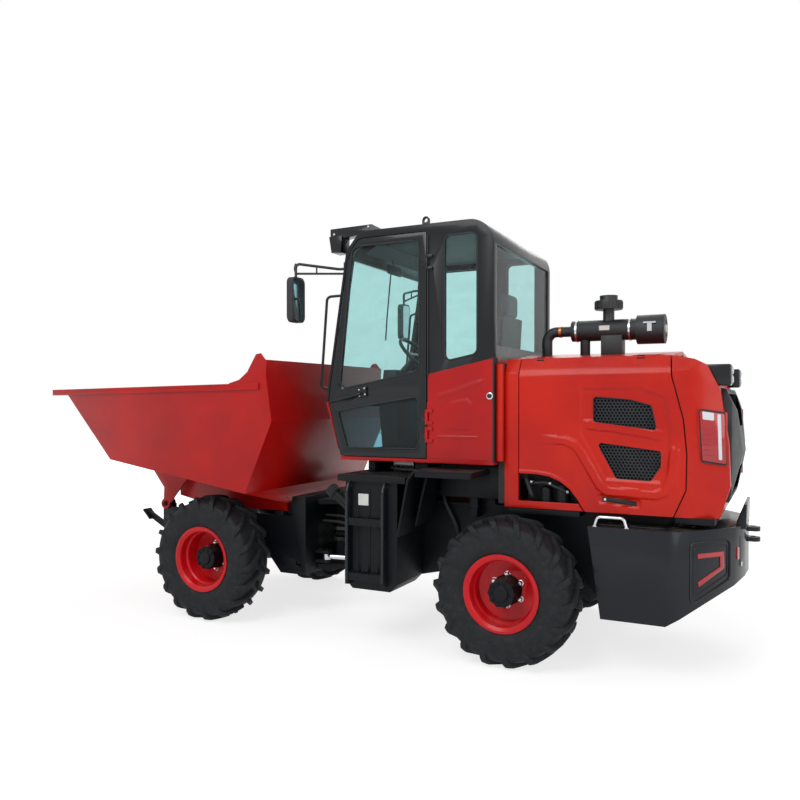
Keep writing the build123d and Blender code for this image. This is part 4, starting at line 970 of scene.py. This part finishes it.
CHAMFER = facet((-1.05, 0.69), (-1.335, 0.35))
REAR_FACET = facet((-1.335, 0.35), (-1.385, 0.18))
RED_STRIP = [
    (0.142, 0.785), (0.352, 0.785), (0.357, 0.682), (0.152, 0.583), (0.142, 0.612), (0.324, 0.694),
    (0.321, 0.756), (0.142, 0.756),
]


def make_counterweight(side):
    emboss = Build(side)
    frame_loop = soften([(0.085, 0.855), (0.405, 0.855), (0.405, 0.61), (0.085, 0.475)], 0.035)
    bead(emboss, frame_loop, 0.0005, 0.006, CHAMFER)
    inner_loop = soften([(0.112, 0.825), (0.382, 0.825), (0.382, 0.64), (0.112, 0.525)], 0.025)
    bead(emboss, inner_loop, 0.0, 0.0035, CHAMFER)
    for x, y in ((-0.66, 0.6), (-0.92, 0.62), (-0.99, 0.52), (-1.1, 0.45), (-0.6, 0.48)):
        emboss.disc((x, y, 0.9245), (0, 0, 1), 0.011, 0.004, 14, 0.001)
    emboss.tube([(-0.545, 0.648, 0.931), (-0.96, 0.648, 0.931)], 0.004, 0.01, 6)
    emboss.done("counterweight_emboss_", ballast)
    strip = Build(side)
    plate(strip, RED_STRIP, -0.002, 0.005, CHAMFER)
    strip.done("counterweight_strip_", lamp_red, bevel=0.0015)
    reflector = Build(side)
    plate(reflector, soften([(0.03, 0.8), (0.062, 0.8), (0.062, 0.722), (0.03, 0.722)], 0.008), -0.002, 0.007,
          REAR_FACET)
    reflector.done("reflector_", lamp_red, bevel=0.0015)
    # Flat dark plate flush with the rear facet: painted shade in place of a recessed slot.
    slot = Build(side)
    plate(slot, [(0.088, 0.86), (0.112, 0.86), (0.112, 0.69), (0.088, 0.69)], -0.002, 0.002, REAR_FACET)
    slot.done("painted_slot_shade_", screen_black)
    bright = Build(side)
    bright.tube([
        (-0.545, 0.69, 0.918), (-0.565, 0.69, 0.985), (-0.725, 0.69, 0.985), (-0.745, 0.69, 0.918)],
        0.0105, 0.028, 14)
    for x in (-0.547, -0.743):
        bright.disc((x, 0.69, 0.9245), (0, 0, 1), 0.018, 0.006, 18, 0.002)
    plate(bright, [(0.092, 0.7), (0.108, 0.7), (0.108, 0.672), (0.092, 0.672)], 0.001, 0.01, REAR_FACET)
    bright.done("counterweight_grip_", chrome, bevel=0.001, segments=1)


# ---- lamps --------------------------------------------------------------------------

TAIL_FACET = facet((-1.14, 0.592), (-1.3, 0.53))
TAIL_LENS = [(0.004, 1.664), (0.16, 1.642), (0.172, 1.318), (0.022, 1.34)]
TAIL_WINDOWS = [
    [(0.024, 1.646), (0.092, 1.636), (0.094, 1.59), (0.028, 1.598)],
    [(0.112, 1.63), (0.132, 1.627), (0.142, 1.352), (0.122, 1.356)],
]
TAIL_RIBS = 6
TAIL_RIB_Z = 1.35
TAIL_RIB_PITCH = 0.032
RIB_OUTLINE = ((-0.003, 0.0095), (0.0, 0.0125), (0.003, 0.0095))
RIB_FACES = [[0, 1, 4, 3], [1, 2, 5, 4], [0, 3, 5, 2], [0, 2, 1], [3, 4, 5]]


def inset(loop, amount):
    """Outline pulled towards its centre by about an amount."""
    centre = sum((Vector(p) for p in loop), Vector((0, 0))) / len(loop)
    return [tuple(Vector(p) + (centre - Vector(p)).normalized() * amount * 1.3) for p in loop]


def make_tail_lamp(side):
    frame_piece = Build(side)
    plate(frame_piece, soften(TAIL_LENS, 0.014), -0.004, 0.004, TAIL_FACET)
    frame_piece.done("tail_lamp_frame_", soft_rubber, bevel=0.002)
    lens = Build(side)
    body = inset(TAIL_LENS, 0.01)
    plate(lens, soften(body, 0.01), 0.002, 0.01, TAIL_FACET)
    for k in range(1, TAIL_RIBS + 1):
        z = TAIL_RIB_Z + TAIL_RIB_PITCH * k
        lens.add([TAIL_FACET(u, z + dz, off) for u in (0.026, 0.1) for dz, off in RIB_OUTLINE], RIB_FACES)
    lens.done("tail_lens_", lamp_red, bevel=0.002)
    clear = Build(side)
    for loop in TAIL_WINDOWS:
        plate(clear, soften(loop, 0.006), 0.008, 0.0125, TAIL_FACET)
    clear.done("tail_clear_", lamp_clear, bevel=0.001, segments=1)


def make_rear_lamp(side):
    shroud = Build(side)
    shroud.box(-1.32, -1.166, 0.375, 0.505, 1.803, 1.933)
    shroud.done("rear_lamp_body_", gloss_black, bevel=0.01, segments=3)
    lens = Build(side)
    for z in (1.84, 1.896):
        lens.lathe([(0.0, 0.026), (0.006, 0.026), (0.008, 0.021), (0.011, 0.012), (0.012, 0.0005)],
                   (-1.3195, 0.44, z), (-1, 0, 0), 28)
    lens.done("rear_lamp_lens_", lamp_clear)


def make_roof_lamp(side):
    lens = Build(side)
    lens.prism([(1.428, 2.924), (1.443, 2.924), (1.424, 2.816), (1.41, 2.816)], "Y", 0.512, 0.608)
    lens.done("roof_lamp_lens_", lamp_clear, bevel=0.004)
    bolts = Build(side)
    for x, z in ((1.115, 2.978), (1.405, 2.948), (1.385, 2.862)):
        bolts.bolts([(x, 0.6, z)], (0, 1, 0), 0.01, 0.008)
    bolts.done("roof_lamp_bolts_", chrome)


# ---- cab outside --------------------------------------------------------------------

CAB_Y = 0.672
SEAL_Y = 0.67
SEAL_R = 0.007
DOOR_HINGE_X = 0.612
DOOR_HINGE_Y = 0.686
RED_HINGE_ZS = (1.475, 1.598)
QUARTER_PANEL = [(0.6, 1.312), (0.6, 1.89), (0.132, 1.989), (0.132, 1.312)]
QUARTER_FIELD = [(0.5, 1.5), (0.5, 1.66), (0.44, 1.712), (0.31, 1.735), (0.265, 1.69), (0.265, 1.5)]


def quarter_y(x, z):
    """Outer face of the red panel behind the left door."""
    y = CAB_Y + 0.003
    y += 0.006 * basin(x, z, QUARTER_FIELD, 0.024)
    crease = away(x, z, [(0.56, 1.728), (0.4, 1.772), (0.19, 1.842)])
    y += 0.008 * (1 - ease(crease, 0.002, 0.03)) * ease(x, 0.17, 0.24) * (1 - ease(x, 0.52, 0.58))
    line = away(x, z, [(0.53, 1.462), (0.232, 1.462)])
    y += 0.005 * (1 - ease(line, 0.002, 0.012))
    return y


DOOR_UPPER = [(0.675, 1.915), (1.325, 1.792), (1.212, 2.828), (0.675, 2.828)]
DOOR_LOWER = [(0.682, 1.374), (1.262, 1.368), (1.342, 1.637), (0.68, 1.741)]
QUARTER_PANE = [(0.243, 2.027), (0.484, 1.979), (0.484, 2.842), (0.243, 2.842)]


def make_cab_side(side):
    skin = Build(side)
    panel(skin, QUARTER_PANEL, [], quarter_y, 0.003, PANEL_PITCH)
    skin.done("quarter_skin_", cab_red)
    column = Build(side)
    column.lathe([(0, 0.028), (0.65, 0.028)], (0.098, 0.622, 1.305), (0, 0, 1), 24)
    column.done("corner_column_", hood_red, bevel=0.002, segments=1)
    dark = Build(side)
    dark.box(0.122, 0.133, 0.6, 0.676, 1.3, 2.0)
    ring(dark, soften(QUARTER_PANE, 0.045), SEAL_Y, SEAL_R)
    dark.tube([(0.606, 0.676, 1.885), (0.606, 0.676, 2.85)], 0.006, 0.01, 8)
    dark.done("cab_seals_", soft_rubber)
    knob = Build(side)
    knob.disc((0.15, CAB_Y, 1.742), (0, 1, 0), 0.024, 0.012, 24, 0.003)
    knob.done("door_catch_", chrome)
    tip = Build(side)
    tip.disc((0.15, 0.682, 1.742), (0, 1, 0), 0.015, 0.018, 20, 0.005)
    tip.done("door_catch_tip_", soft_rubber)


def make_door_trim(side):
    body = "cab_door_"
    seals = Build(side)
    ring(seals, soften(DOOR_UPPER, 0.06), SEAL_Y, SEAL_R)
    ring(seals, soften(DOOR_LOWER, 0.03), SEAL_Y, SEAL_R)
    seals.done("door_seals_", soft_rubber, body)
    lock = Build(side)
    lock.prism([(1.082, 1.745), (1.15, 1.73), (1.156, 1.8), (1.088, 1.815)], "Y", CAB_Y, 0.69)
    lock.done("door_lock_", gloss_black, body, bevel=0.004)
    bolts = Build(side)
    for x, z in ((1.096, 1.756), (1.14, 1.746), (1.144, 1.79), (1.101, 1.8)):
        bolts.disc((x, 0.69, z), (0, 1, 0), 0.006, 0.004, 12, 0.002)
    bolts.done("door_lock_bolts_", chrome, body)
    hinges = Build(side)
    for z in RED_HINGE_ZS:
        hinges.lathe([(-0.031, 0.0108), (0.031, 0.0108)], (DOOR_HINGE_X, DOOR_HINGE_Y, z), (0, 0, 1), 16)
    hinges.done("door_hinges_", rim_red, body, bevel=0.0015, segments=1)


def make_mirror(side):
    face = Build(side)
    loop = soften([(0.812, 2.29), (0.948, 2.29), (0.948, 2.585), (0.812, 2.585)], 0.035)
    face.prism(loop, "X", 1.5325, 1.5355)
    face.done("mirror_face_", mirror_face)
    strut = Build(side)
    strut.tube([(1.44, 0.79, 2.632), (1.44, 0.79, 2.692)], 0.006, 0.01, 10)
    strut.tube([(1.56, 0.88, 2.7), (1.568, 0.884, 2.665), (1.56, 0.88, 2.628)], 0.008, 0.03, 10)
    strut.disc((1.56, 0.88, 2.43), (1, 0, 0), 0.018, 0.034, 16, 0.004)
    strut.done("mirror_strut_", black_plastic)


# ---- painted gap shade and inner works ------------------------------------------------


def make_gap_shade(side):
    """Painted shade: black strips behind the gaps round the hood door and a black block in the dark gap
    behind the cab.
    """
    dark = Build(side)
    # Black strips behind the hood door gaps: painted shade.
    strip = [(x + 0.012, z) for x, z in REAR_GAP] + [(x - 0.026, z) for x, z in reversed(REAR_GAP)]
    dark.prism(strip, "Y", 0.548, 0.57)
    dark.box(-0.05, -0.01, 0.5, 0.572, 1.24, 1.9)
    # Black block in the gap behind the cab: painted shade.
    dark.box(0.078, 0.12, 0.3, 0.59, 1.02, 1.96)
    dark.done("painted_gap_shade_", soft_rubber)


VALVE_XS = [0.82 + 0.04 * k for k in range(4)]


def make_belly():
    """Hydraulic tank, valve block and brackets between the cab floor and the frame."""
    dark = Build()
    dark.box(0.11, 0.56, -0.56, 0.56, 1.04, 1.262)
    dark.box(0.59, 1.18, -0.42, 0.42, 1.12, 1.258)
    dark.box(0.64, 0.74, -0.6, 0.6, 1.195, 1.275)
    dark.box(1.06, 1.12, -0.6, 0.6, 1.195, 1.275)
    dark.done("belly_tank", frame_black, bevel=0.008)
    valve = Build()
    valve.box(0.8, 0.96, 0.3, 0.5, 1.2, 1.27)
    for x in VALVE_XS:
        valve.disc((x, 0.5, 1.232), (0, 1, 0), 0.014, 0.03, 12, 0.003)
    valve.done("valve_block", steel, bevel=0.003)
    hoses = Build()
    for x in VALVE_XS:
        hoses.tube([
            (x, 0.525, 1.232), (x, 0.59, 1.228), (x - 0.12, 0.6, 1.215), (x - 0.28, 0.52, 1.205)],
            0.01, 0.03, 10)
    hoses.tube([
        (0.6, 0.455, 1.15), (0.56, 0.47, 0.98), (0.48, 0.46, 0.82), (0.47, 0.4, 0.7)],
        0.014, 0.06, 10)
    hoses.done("belly_hoses", soft_rubber)


def make_engine_bay(side):
    """Filters, hoses and brackets seen through the arch under the hood door, and a black plate behind the
    vents as painted shade.
    """
    dark = Build(side)
    dark.box(-0.43, -0.05, 0.3, 0.48, 1.01, 1.42)
    # Thin black plate behind both vents: painted shade where the space under the hood is in shadow.
    dark.box(-0.96, -0.44, 0.43, 0.45, 1.15, 1.79)
    dark.disc((-0.3, 0.52, 1.03), (0, 0, 1), 0.045, 0.13, 24, 0.01)
    dark.disc((-0.19, 0.52, 1.03), (0, 0, 1), 0.038, 0.11, 24, 0.01)
    dark.done("engine_bay_and_vent_shade_", frame_black, bevel=0.004, segments=1)
    pipes = Build(side)
    pipes.tube([(-0.4, 0.5, 1.09), (-0.33, 0.56, 1.12), (-0.2, 0.562, 1.17), (-0.06, 0.54, 1.16)],
               0.011, 0.04, 10)
    pipes.tube([(-0.12, 0.49, 1.04), (-0.1, 0.555, 1.08), (-0.06, 0.545, 1.19)], 0.014, 0.03, 10)
    pipes.done("engine_pipes_", soft_rubber)
    bright = Build(side)
    for x, z in ((-0.352, 1.112), (-0.235, 1.162), (-0.11, 1.168)):
        bright.band(0.0115, 0.0145, 0.014, (x, 0.561, z), (1, 0, 0.3), 14)
    bright.done("engine_fittings_", steel)


HINGE_X = 1.218
HOSE_R = 0.0125
HOSE_PLACES = ((0.15, 0.79), (0.185, 0.75), (-0.15, 0.79), (-0.185, 0.75))


def make_articulation_hoses():
    """Hydraulic hoses whose fixed route runs from the rear half across the centre hinge to the front half;
    they are attached to neither half.
    """
    for k, (y, z) in enumerate(HOSE_PLACES):
        hose = Build()
        hose.tube([
            (0.99, y, z + 0.03), (1.06, y, z + 0.03), (HINGE_X, y * 1.05, z - 0.06),
            (1.42, y * 1.1, z - 0.04), (1.6, y * 1.2, z - 0.01), (1.76, y * 1.2, z - 0.01)],
            HOSE_R, 0.12, 12, 10)
        piece = hose.done(f"hinge_hose_{k}", soft_rubber, None)
        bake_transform(piece)


CLEANER_Y = 0.15
CLEANER_Z = 2.195
CLEANER_BAND_XS = (-0.3, -0.66)
HEAD_Z = CLEANER_Z - 0.005
HEAD_END_X = -0.8885
RAIN_CAP_X = -0.52
RAIN_CAP_R = 0.0925
RAIN_CAP_FINS = 24
BACKWARD = (-1, 0, 0)


def make_air_cleaner_trim():
    """Clamp bands, latch, blank label, end cover and rain cap fins of the air cleaner."""
    y, z = CLEANER_Y, CLEANER_Z
    bands = Build()
    for x in CLEANER_BAND_XS:
        bands.band(0.0735, 0.0765, 0.014, (x, y, z), BACKWARD, 40)
    bands.box(-0.82, -0.79, y + 0.088, y + 0.104, 2.17, 2.232)
    bands.box(-0.845, -0.765, y + 0.096, y + 0.106, 2.222, 2.234)
    bands.done("air_cleaner_bands", chrome, bevel=0.001, segments=1)
    clamp = Build()
    clamp.band(0.0365, 0.0395, 0.016, (-0.18, y, z), BACKWARD, 32)
    clamp.done("air_cleaner_clamp", copper)
    label = Build()
    label.box(-0.54, -0.47, y + 0.066, y + 0.0745, 2.19, 2.222)
    label.done("air_cleaner_label", pale, bevel=0.001, segments=1)
    cover = Build()
    cover.lathe([
        (0, 0.099), (0.004, 0.099), (0.007, 0.092), (0.007, 0.06), (0.003, 0.056), (0.003, 0.0005)],
        (HEAD_END_X, y, HEAD_Z), BACKWARD, 48)
    cover.done("air_cleaner_cover", grille_grey)
    valve = Build()
    valve.lathe([
        (0, 0.03), (0.01, 0.028), (0.016, 0.012), (0.02, 0.0005)],
        (HEAD_END_X - 0.0025, y, HEAD_Z), BACKWARD, 24)
    valve.done("air_cleaner_valve", pale)
    rain = Build()
    for u, v in around(RAIN_CAP_FINS, RAIN_CAP_R):
        foot = Vector((RAIN_CAP_X + u, y + v, 2.342))
        rain.sweep([foot, foot + Vector((0, 0, 0.046))], 0.0035, 6)
    rain.band(0.0605, 0.05, 0.004, (RAIN_CAP_X, y, 2.4265), (0, 0, 1), 32)
    rain.done("rain_cap_fins", black_plastic)


LADDER_XS = (0.828, 1.107)
LADDER_Y = 0.9305
LADDER_R = 0.0125
RUNG_TOP_ZS = (0.521, 0.901)
RUNG_BARS = 9
STEP_DIAMONDS = (16, 6)
TANK_RIBS = 5
NECK_FOOT = (1.14, 0.8, 0.94)
NECK_RIBS = 9
CAP_FOOT = (1.272, 0.8, 1.0456)
CAP_R = 0.0435
CAP_RIBS = 16


def make_step_trim(side):
    """Curved ladder tops, rung treads, tank ribs, blank label and the ribbed filler neck."""
    rails = Build(side)
    for x in LADDER_XS:
        rails.tube([
            (x, LADDER_Y, 0.47), (x, LADDER_Y, 1.085), (x, 0.9, 1.14), (x, 0.87, 1.15)], LADDER_R, 0.05, 12)
    rails.done("ladder_rails_", gloss_black)
    treads = Build(side)
    for z in RUNG_TOP_ZS:
        for k in range(RUNG_BARS):
            x = 0.85 + 0.029 * k
            treads.box(x, x + 0.012, 0.872, 0.93, z - 0.002, z + 0.004)
    for i in range(STEP_DIAMONDS[0]):
        for k in range(STEP_DIAMONDS[1]):
            x = 0.7 + 0.031 * i
            y = 0.69 + 0.036 * k
            treads.prism([(x - 0.009, y), (x, y + 0.003), (x + 0.009, y), (x, y - 0.003)], "Z", 1.194, 1.1975)
    treads.done("step_treads_", frame_black)
    ribs = Build(side)
    for k in range(TANK_RIBS):
        x = 0.8 + 0.075 * k
        ribs.box(x, x + 0.022, 0.868, 0.874, 0.47, 1.1)
    ribs.done("tank_ribs_", frame_black, bevel=0.003)
    label = Build(side)
    label.box(0.965, 1.045, 0.871, 0.8765, 0.985, 1.065)
    label.done("tank_label_", pale, bevel=0.001, segments=1)
    neck = Build(side)
    way = Vector((0.15, 0, 0.12)).normalized()
    side_way = way.orthogonal().normalized()
    other = way.cross(side_way)
    for k in range(NECK_RIBS):
        centre = Vector(NECK_FOOT) + way * (0.02 + 0.017 * k)
        neck.lathe([(0, 0.0315), (0.003, 0.0365), (0.009, 0.0365), (0.012, 0.0315)], centre, way, 24)
    for u, v in around(CAP_RIBS, CAP_R):
        foot = Vector(CAP_FOOT) + side_way * u + other * v
        neck.sweep([foot, foot + way * 0.058], 0.004, 6)
    neck.done("filler_neck_", soft_rubber)


def make_fender_trim(side):
    brace = Build(side)
    brace.prism([(0.56, 1.232), (0.585, 1.232), (0.668, 0.85), (0.655, 0.85)], "Y", 0.5, 0.76)
    brace.box(0.196, 0.204, 0.5, 0.9, 1.205, 1.245)
    brace.prism([(0.205, 1.23), (0.6, 1.23), (0.6, 1.2), (0.205, 1.2)], "Y", 0.892, 0.9)
    brace.done("fender_brace_", frame_black, bevel=0.003)


# How square the pads are: 1 is a ball, 0 a box.
PAD_CROWN = 0.62
PAD_EDGE = 0.42
PAD_CORNER = 0.36


def power(value, exponent):
    return math.copysign(abs(value) ** exponent, value)


def cushion(build, centre, size, pole, lean=0.0, rows=28, columns=56):
    """Crowned pad: fullest in the middle, pulled in between its corners; pole is its face axis."""
    order = [(0, 1, 2), (1, 2, 0), (2, 0, 1)][pole]
    points = []
    for i in range(1, rows):
        v = math.pi * (i / rows - 0.5)
        for k in range(columns):
            u = 2 * math.pi * k / columns
            spot = [0.0, 0.0, 0.0]
            spot[order[0]] = size[order[0]] / 2 * power(math.sin(v), PAD_CROWN)
            edge = power(math.cos(v), PAD_EDGE)
            spot[order[1]] = size[order[1]] / 2 * edge * power(math.cos(u), PAD_CORNER)
            spot[order[2]] = size[order[2]] / 2 * edge * power(math.sin(u), PAD_CORNER)
            points.append((centre[0] + spot[0] + lean * spot[2], centre[1] + spot[1], centre[2] + spot[2]))
    build.add(points, shell(rows - 1, columns))


# Seat pads: name, centre, size, the axis that the pad faces along, lean of the back.
SEAT_PADS = (
    ("seat_cushion", (0.53, 0, 1.667), (0.455, 0.478, 0.104), 2, 0.0),
    ("seat_back", (0.294, 0, 1.985), (0.098, 0.458, 0.685), 0, -0.075),
    ("seat_headrest", (0.244, 0, 2.414), (0.066, 0.258, 0.168), 0, 0.0),
)


def make_seat():
    """Suspension base, back pan and three padded pieces in place of the plain seat."""
    base = Build()
    base.box(0.33, 0.62, -0.18, 0.18, 1.3205, 1.59)
    base.box(0.306, 0.74, -0.225, 0.225, 1.59, 1.622)
    base.prism([(0.252, 1.64), (0.268, 1.64), (0.222, 2.33), (0.212, 2.33)], "Y", -0.215, 0.215)
    piece = base.done("seat_base", black_plastic, bevel=0.008)
    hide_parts("seat")
    for name, centre, size, pole, lean in SEAT_PADS:
        pad = Build()
        cushion(pad, centre, size, pole, lean)
        soft = pad.done(name, seat_black)


def make_cab_inside():
    """Roof lining, sun visor, inside mirror and wiper."""
    lining = Build()
    lining.box(0.3, 1.13, -0.59, 0.59, 2.872, 2.892)
    lining.prism([(1.06, 2.868), (1.185, 2.8), (1.19, 2.808), (1.066, 2.876)], "Y", -0.52, 0.52)
    lining.done("roof_lining", screen_black, bevel=0.004, segments=1)
    mirror = Build()
    mirror.box(1.128, 1.14, 0.04, 0.26, 2.69, 2.76)
    mirror.tube([(1.136, 0.15, 2.755), (1.15, 0.15, 2.815)], 0.006, 0.01, 8)
    mirror.done("inside_mirror", black_plastic, bevel=0.004)
    wiper = Build()
    wiper.tube([(1.268, -0.06, 2.79), (1.33, -0.1, 2.38), (1.352, -0.12, 2.21)], 0.006, 0.02, 8)
    wiper.done("wiper", black_plastic)


for side in (1, -1):
    for make in (make_counterweight, make_gap_shade, make_engine_bay, make_step_trim, make_fender_trim,
                 make_tail_lamp, make_rear_lamp, make_roof_lamp, make_cab_side, make_door_trim, make_mirror):
        make(side)
for make in (make_belly, make_articulation_hoses, make_air_cleaner_trim, make_seat, make_cab_inside):
    make()


# ---- stage --------------------------------------------------------------------------

SKY_LIGHT = 0.42
FLOOR_GLOW = 1.35
FLOOR_NEAR_SHARE = 0.55
FLOOR_FADE_M = 12.0


def make_world():
    """Even white sky: full white to the eye and in reflections, dimmer as a lamp."""
    world = bpy.data.worlds.new("studio")
    world.use_nodes = True
    tree = world.node_tree
    lamp = tree.nodes["Background"]
    white = tree.nodes.new("ShaderNodeBackground")
    for node, strength in ((lamp, SKY_LIGHT), (white, 1.0)):
        node.inputs["Color"].default_value = (1, 1, 1, 1)
        node.inputs["Strength"].default_value = strength
    path = tree.nodes.new("ShaderNodeLightPath")
    seen = path.outputs["Is Camera Ray"]
    for ray in ("Is Transmission Ray", "Is Glossy Ray"):
        either = tree.nodes.new("ShaderNodeMath")
        either.operation = "MAXIMUM"
        tree.links.new(seen, either.inputs[0])
        tree.links.new(path.outputs[ray], either.inputs[1])
        seen = either.outputs[0]
    mix = tree.nodes.new("ShaderNodeMixShader")
    for source, target in ((seen, 0), (lamp.outputs[0], 1), (white.outputs[0], 2)):
        tree.links.new(source, mix.inputs[target])
    tree.links.new(mix.outputs["Shader"], tree.nodes["World Output"].inputs["Surface"])
    bpy.context.scene.world = world


def make_floor():
    """Pale floor that fades to white away from the machine."""
    bpy.ops.mesh.primitive_plane_add(size=60, location=(0, 0, 0))
    floor = bpy.context.object
    floor.name = "floor"
    shade = Shade("floor")
    shade.finish(linear(250, 250, 250), Roughness=0.9, Specular_IOR_Level=0.1)
    grain = shade.mix(shade.noise(3, 4), linear(252, 252, 252), linear(247, 247, 247))
    shade.link(grain, shade.surface.inputs["Base Color"])
    glow = shade.nodes.new("ShaderNodeEmission")
    glow.inputs["Color"].default_value = (1, 1, 1, 1)
    glow.inputs["Strength"].default_value = FLOOR_GLOW
    path = shade.nodes.new("ShaderNodeLightPath")
    far = shade.nodes.new("ShaderNodeVectorMath")
    far.operation = "LENGTH"
    shade.link(shade.place, far.inputs[0])
    fade = shade.steps(shade.math("DIVIDE", far.outputs["Value"], FLOOR_FADE_M), 0.22, 0.6)
    seen = shade.math("MAXIMUM", path.outputs["Is Camera Ray"], path.outputs["Is Glossy Ray"])
    bright = shade.math("MULTIPLY", fade, 1 - FLOOR_NEAR_SHARE)
    share = shade.math("MULTIPLY", seen, shade.math("ADD", bright, FLOOR_NEAR_SHARE))
    shade.blend(share, shade.surface.outputs["BSDF"], glow.outputs["Emission"])
    floor.data.materials.append(shade.material)


def area_lamp(name, place, target, size, watts):
    lamp = bpy.data.lights.new(name, "AREA")
    lamp.shape = "DISK"
    lamp.size = size
    lamp.energy = watts
    piece = bpy.data.objects.new(name, lamp)
    bpy.context.scene.collection.objects.link(piece)
    piece.location = place
    piece.rotation_euler = (Vector(target) - Vector(place)).to_track_quat("-Z", "Y").to_euler()


LAMP_SIZE = 5.0
# Name, place, target and power of each studio lamp.
LAMPS = (
    ("key", (1.5, 7.0, 7.0), (1.0, 0, 1.2), 300),
    ("fill", (-6.5, 4.5, 4.0), (0.5, 0, 1.2), 130),
    ("back", (2.0, -6.0, 6.5), (1.0, 0, 1.5), 150),
)


def make_lamps():
    for name, place, target, watts in LAMPS:
        area_lamp(name, at(*place), at(*target), LAMP_SIZE, watts)


CAMERA_PLACE = (-1.6373, 5.5801, 1.7093)
CAMERA_YAW = 0.4646
CAMERA_DIP = 0.0117
CAMERA_LENS = 35.02
CAMERA_SHIFT_Y = 0.0125


def make_camera():
    """Camera at the reference viewing angle, a little above the tyres and behind the cab."""
    data = bpy.data.cameras.new("camera")
    data.sensor_width = 36
    data.lens = CAMERA_LENS
    data.shift_y = CAMERA_SHIFT_Y
    data.clip_end = 200
    camera = bpy.data.objects.new("camera", data)
    bpy.context.scene.collection.objects.link(camera)
    camera.location = at(*CAMERA_PLACE)
    ahead = Vector((
        math.sin(CAMERA_YAW) * math.cos(CAMERA_DIP), -math.cos(CAMERA_YAW) * math.cos(CAMERA_DIP),
        -math.sin(CAMERA_DIP)))
    camera.rotation_euler = ahead.to_track_quat("-Z", "Y").to_euler()
    bpy.context.scene.camera = camera


make_world()
make_floor()
make_lamps()
make_camera()
bpy.context.scene.view_settings.view_transform = "Standard"
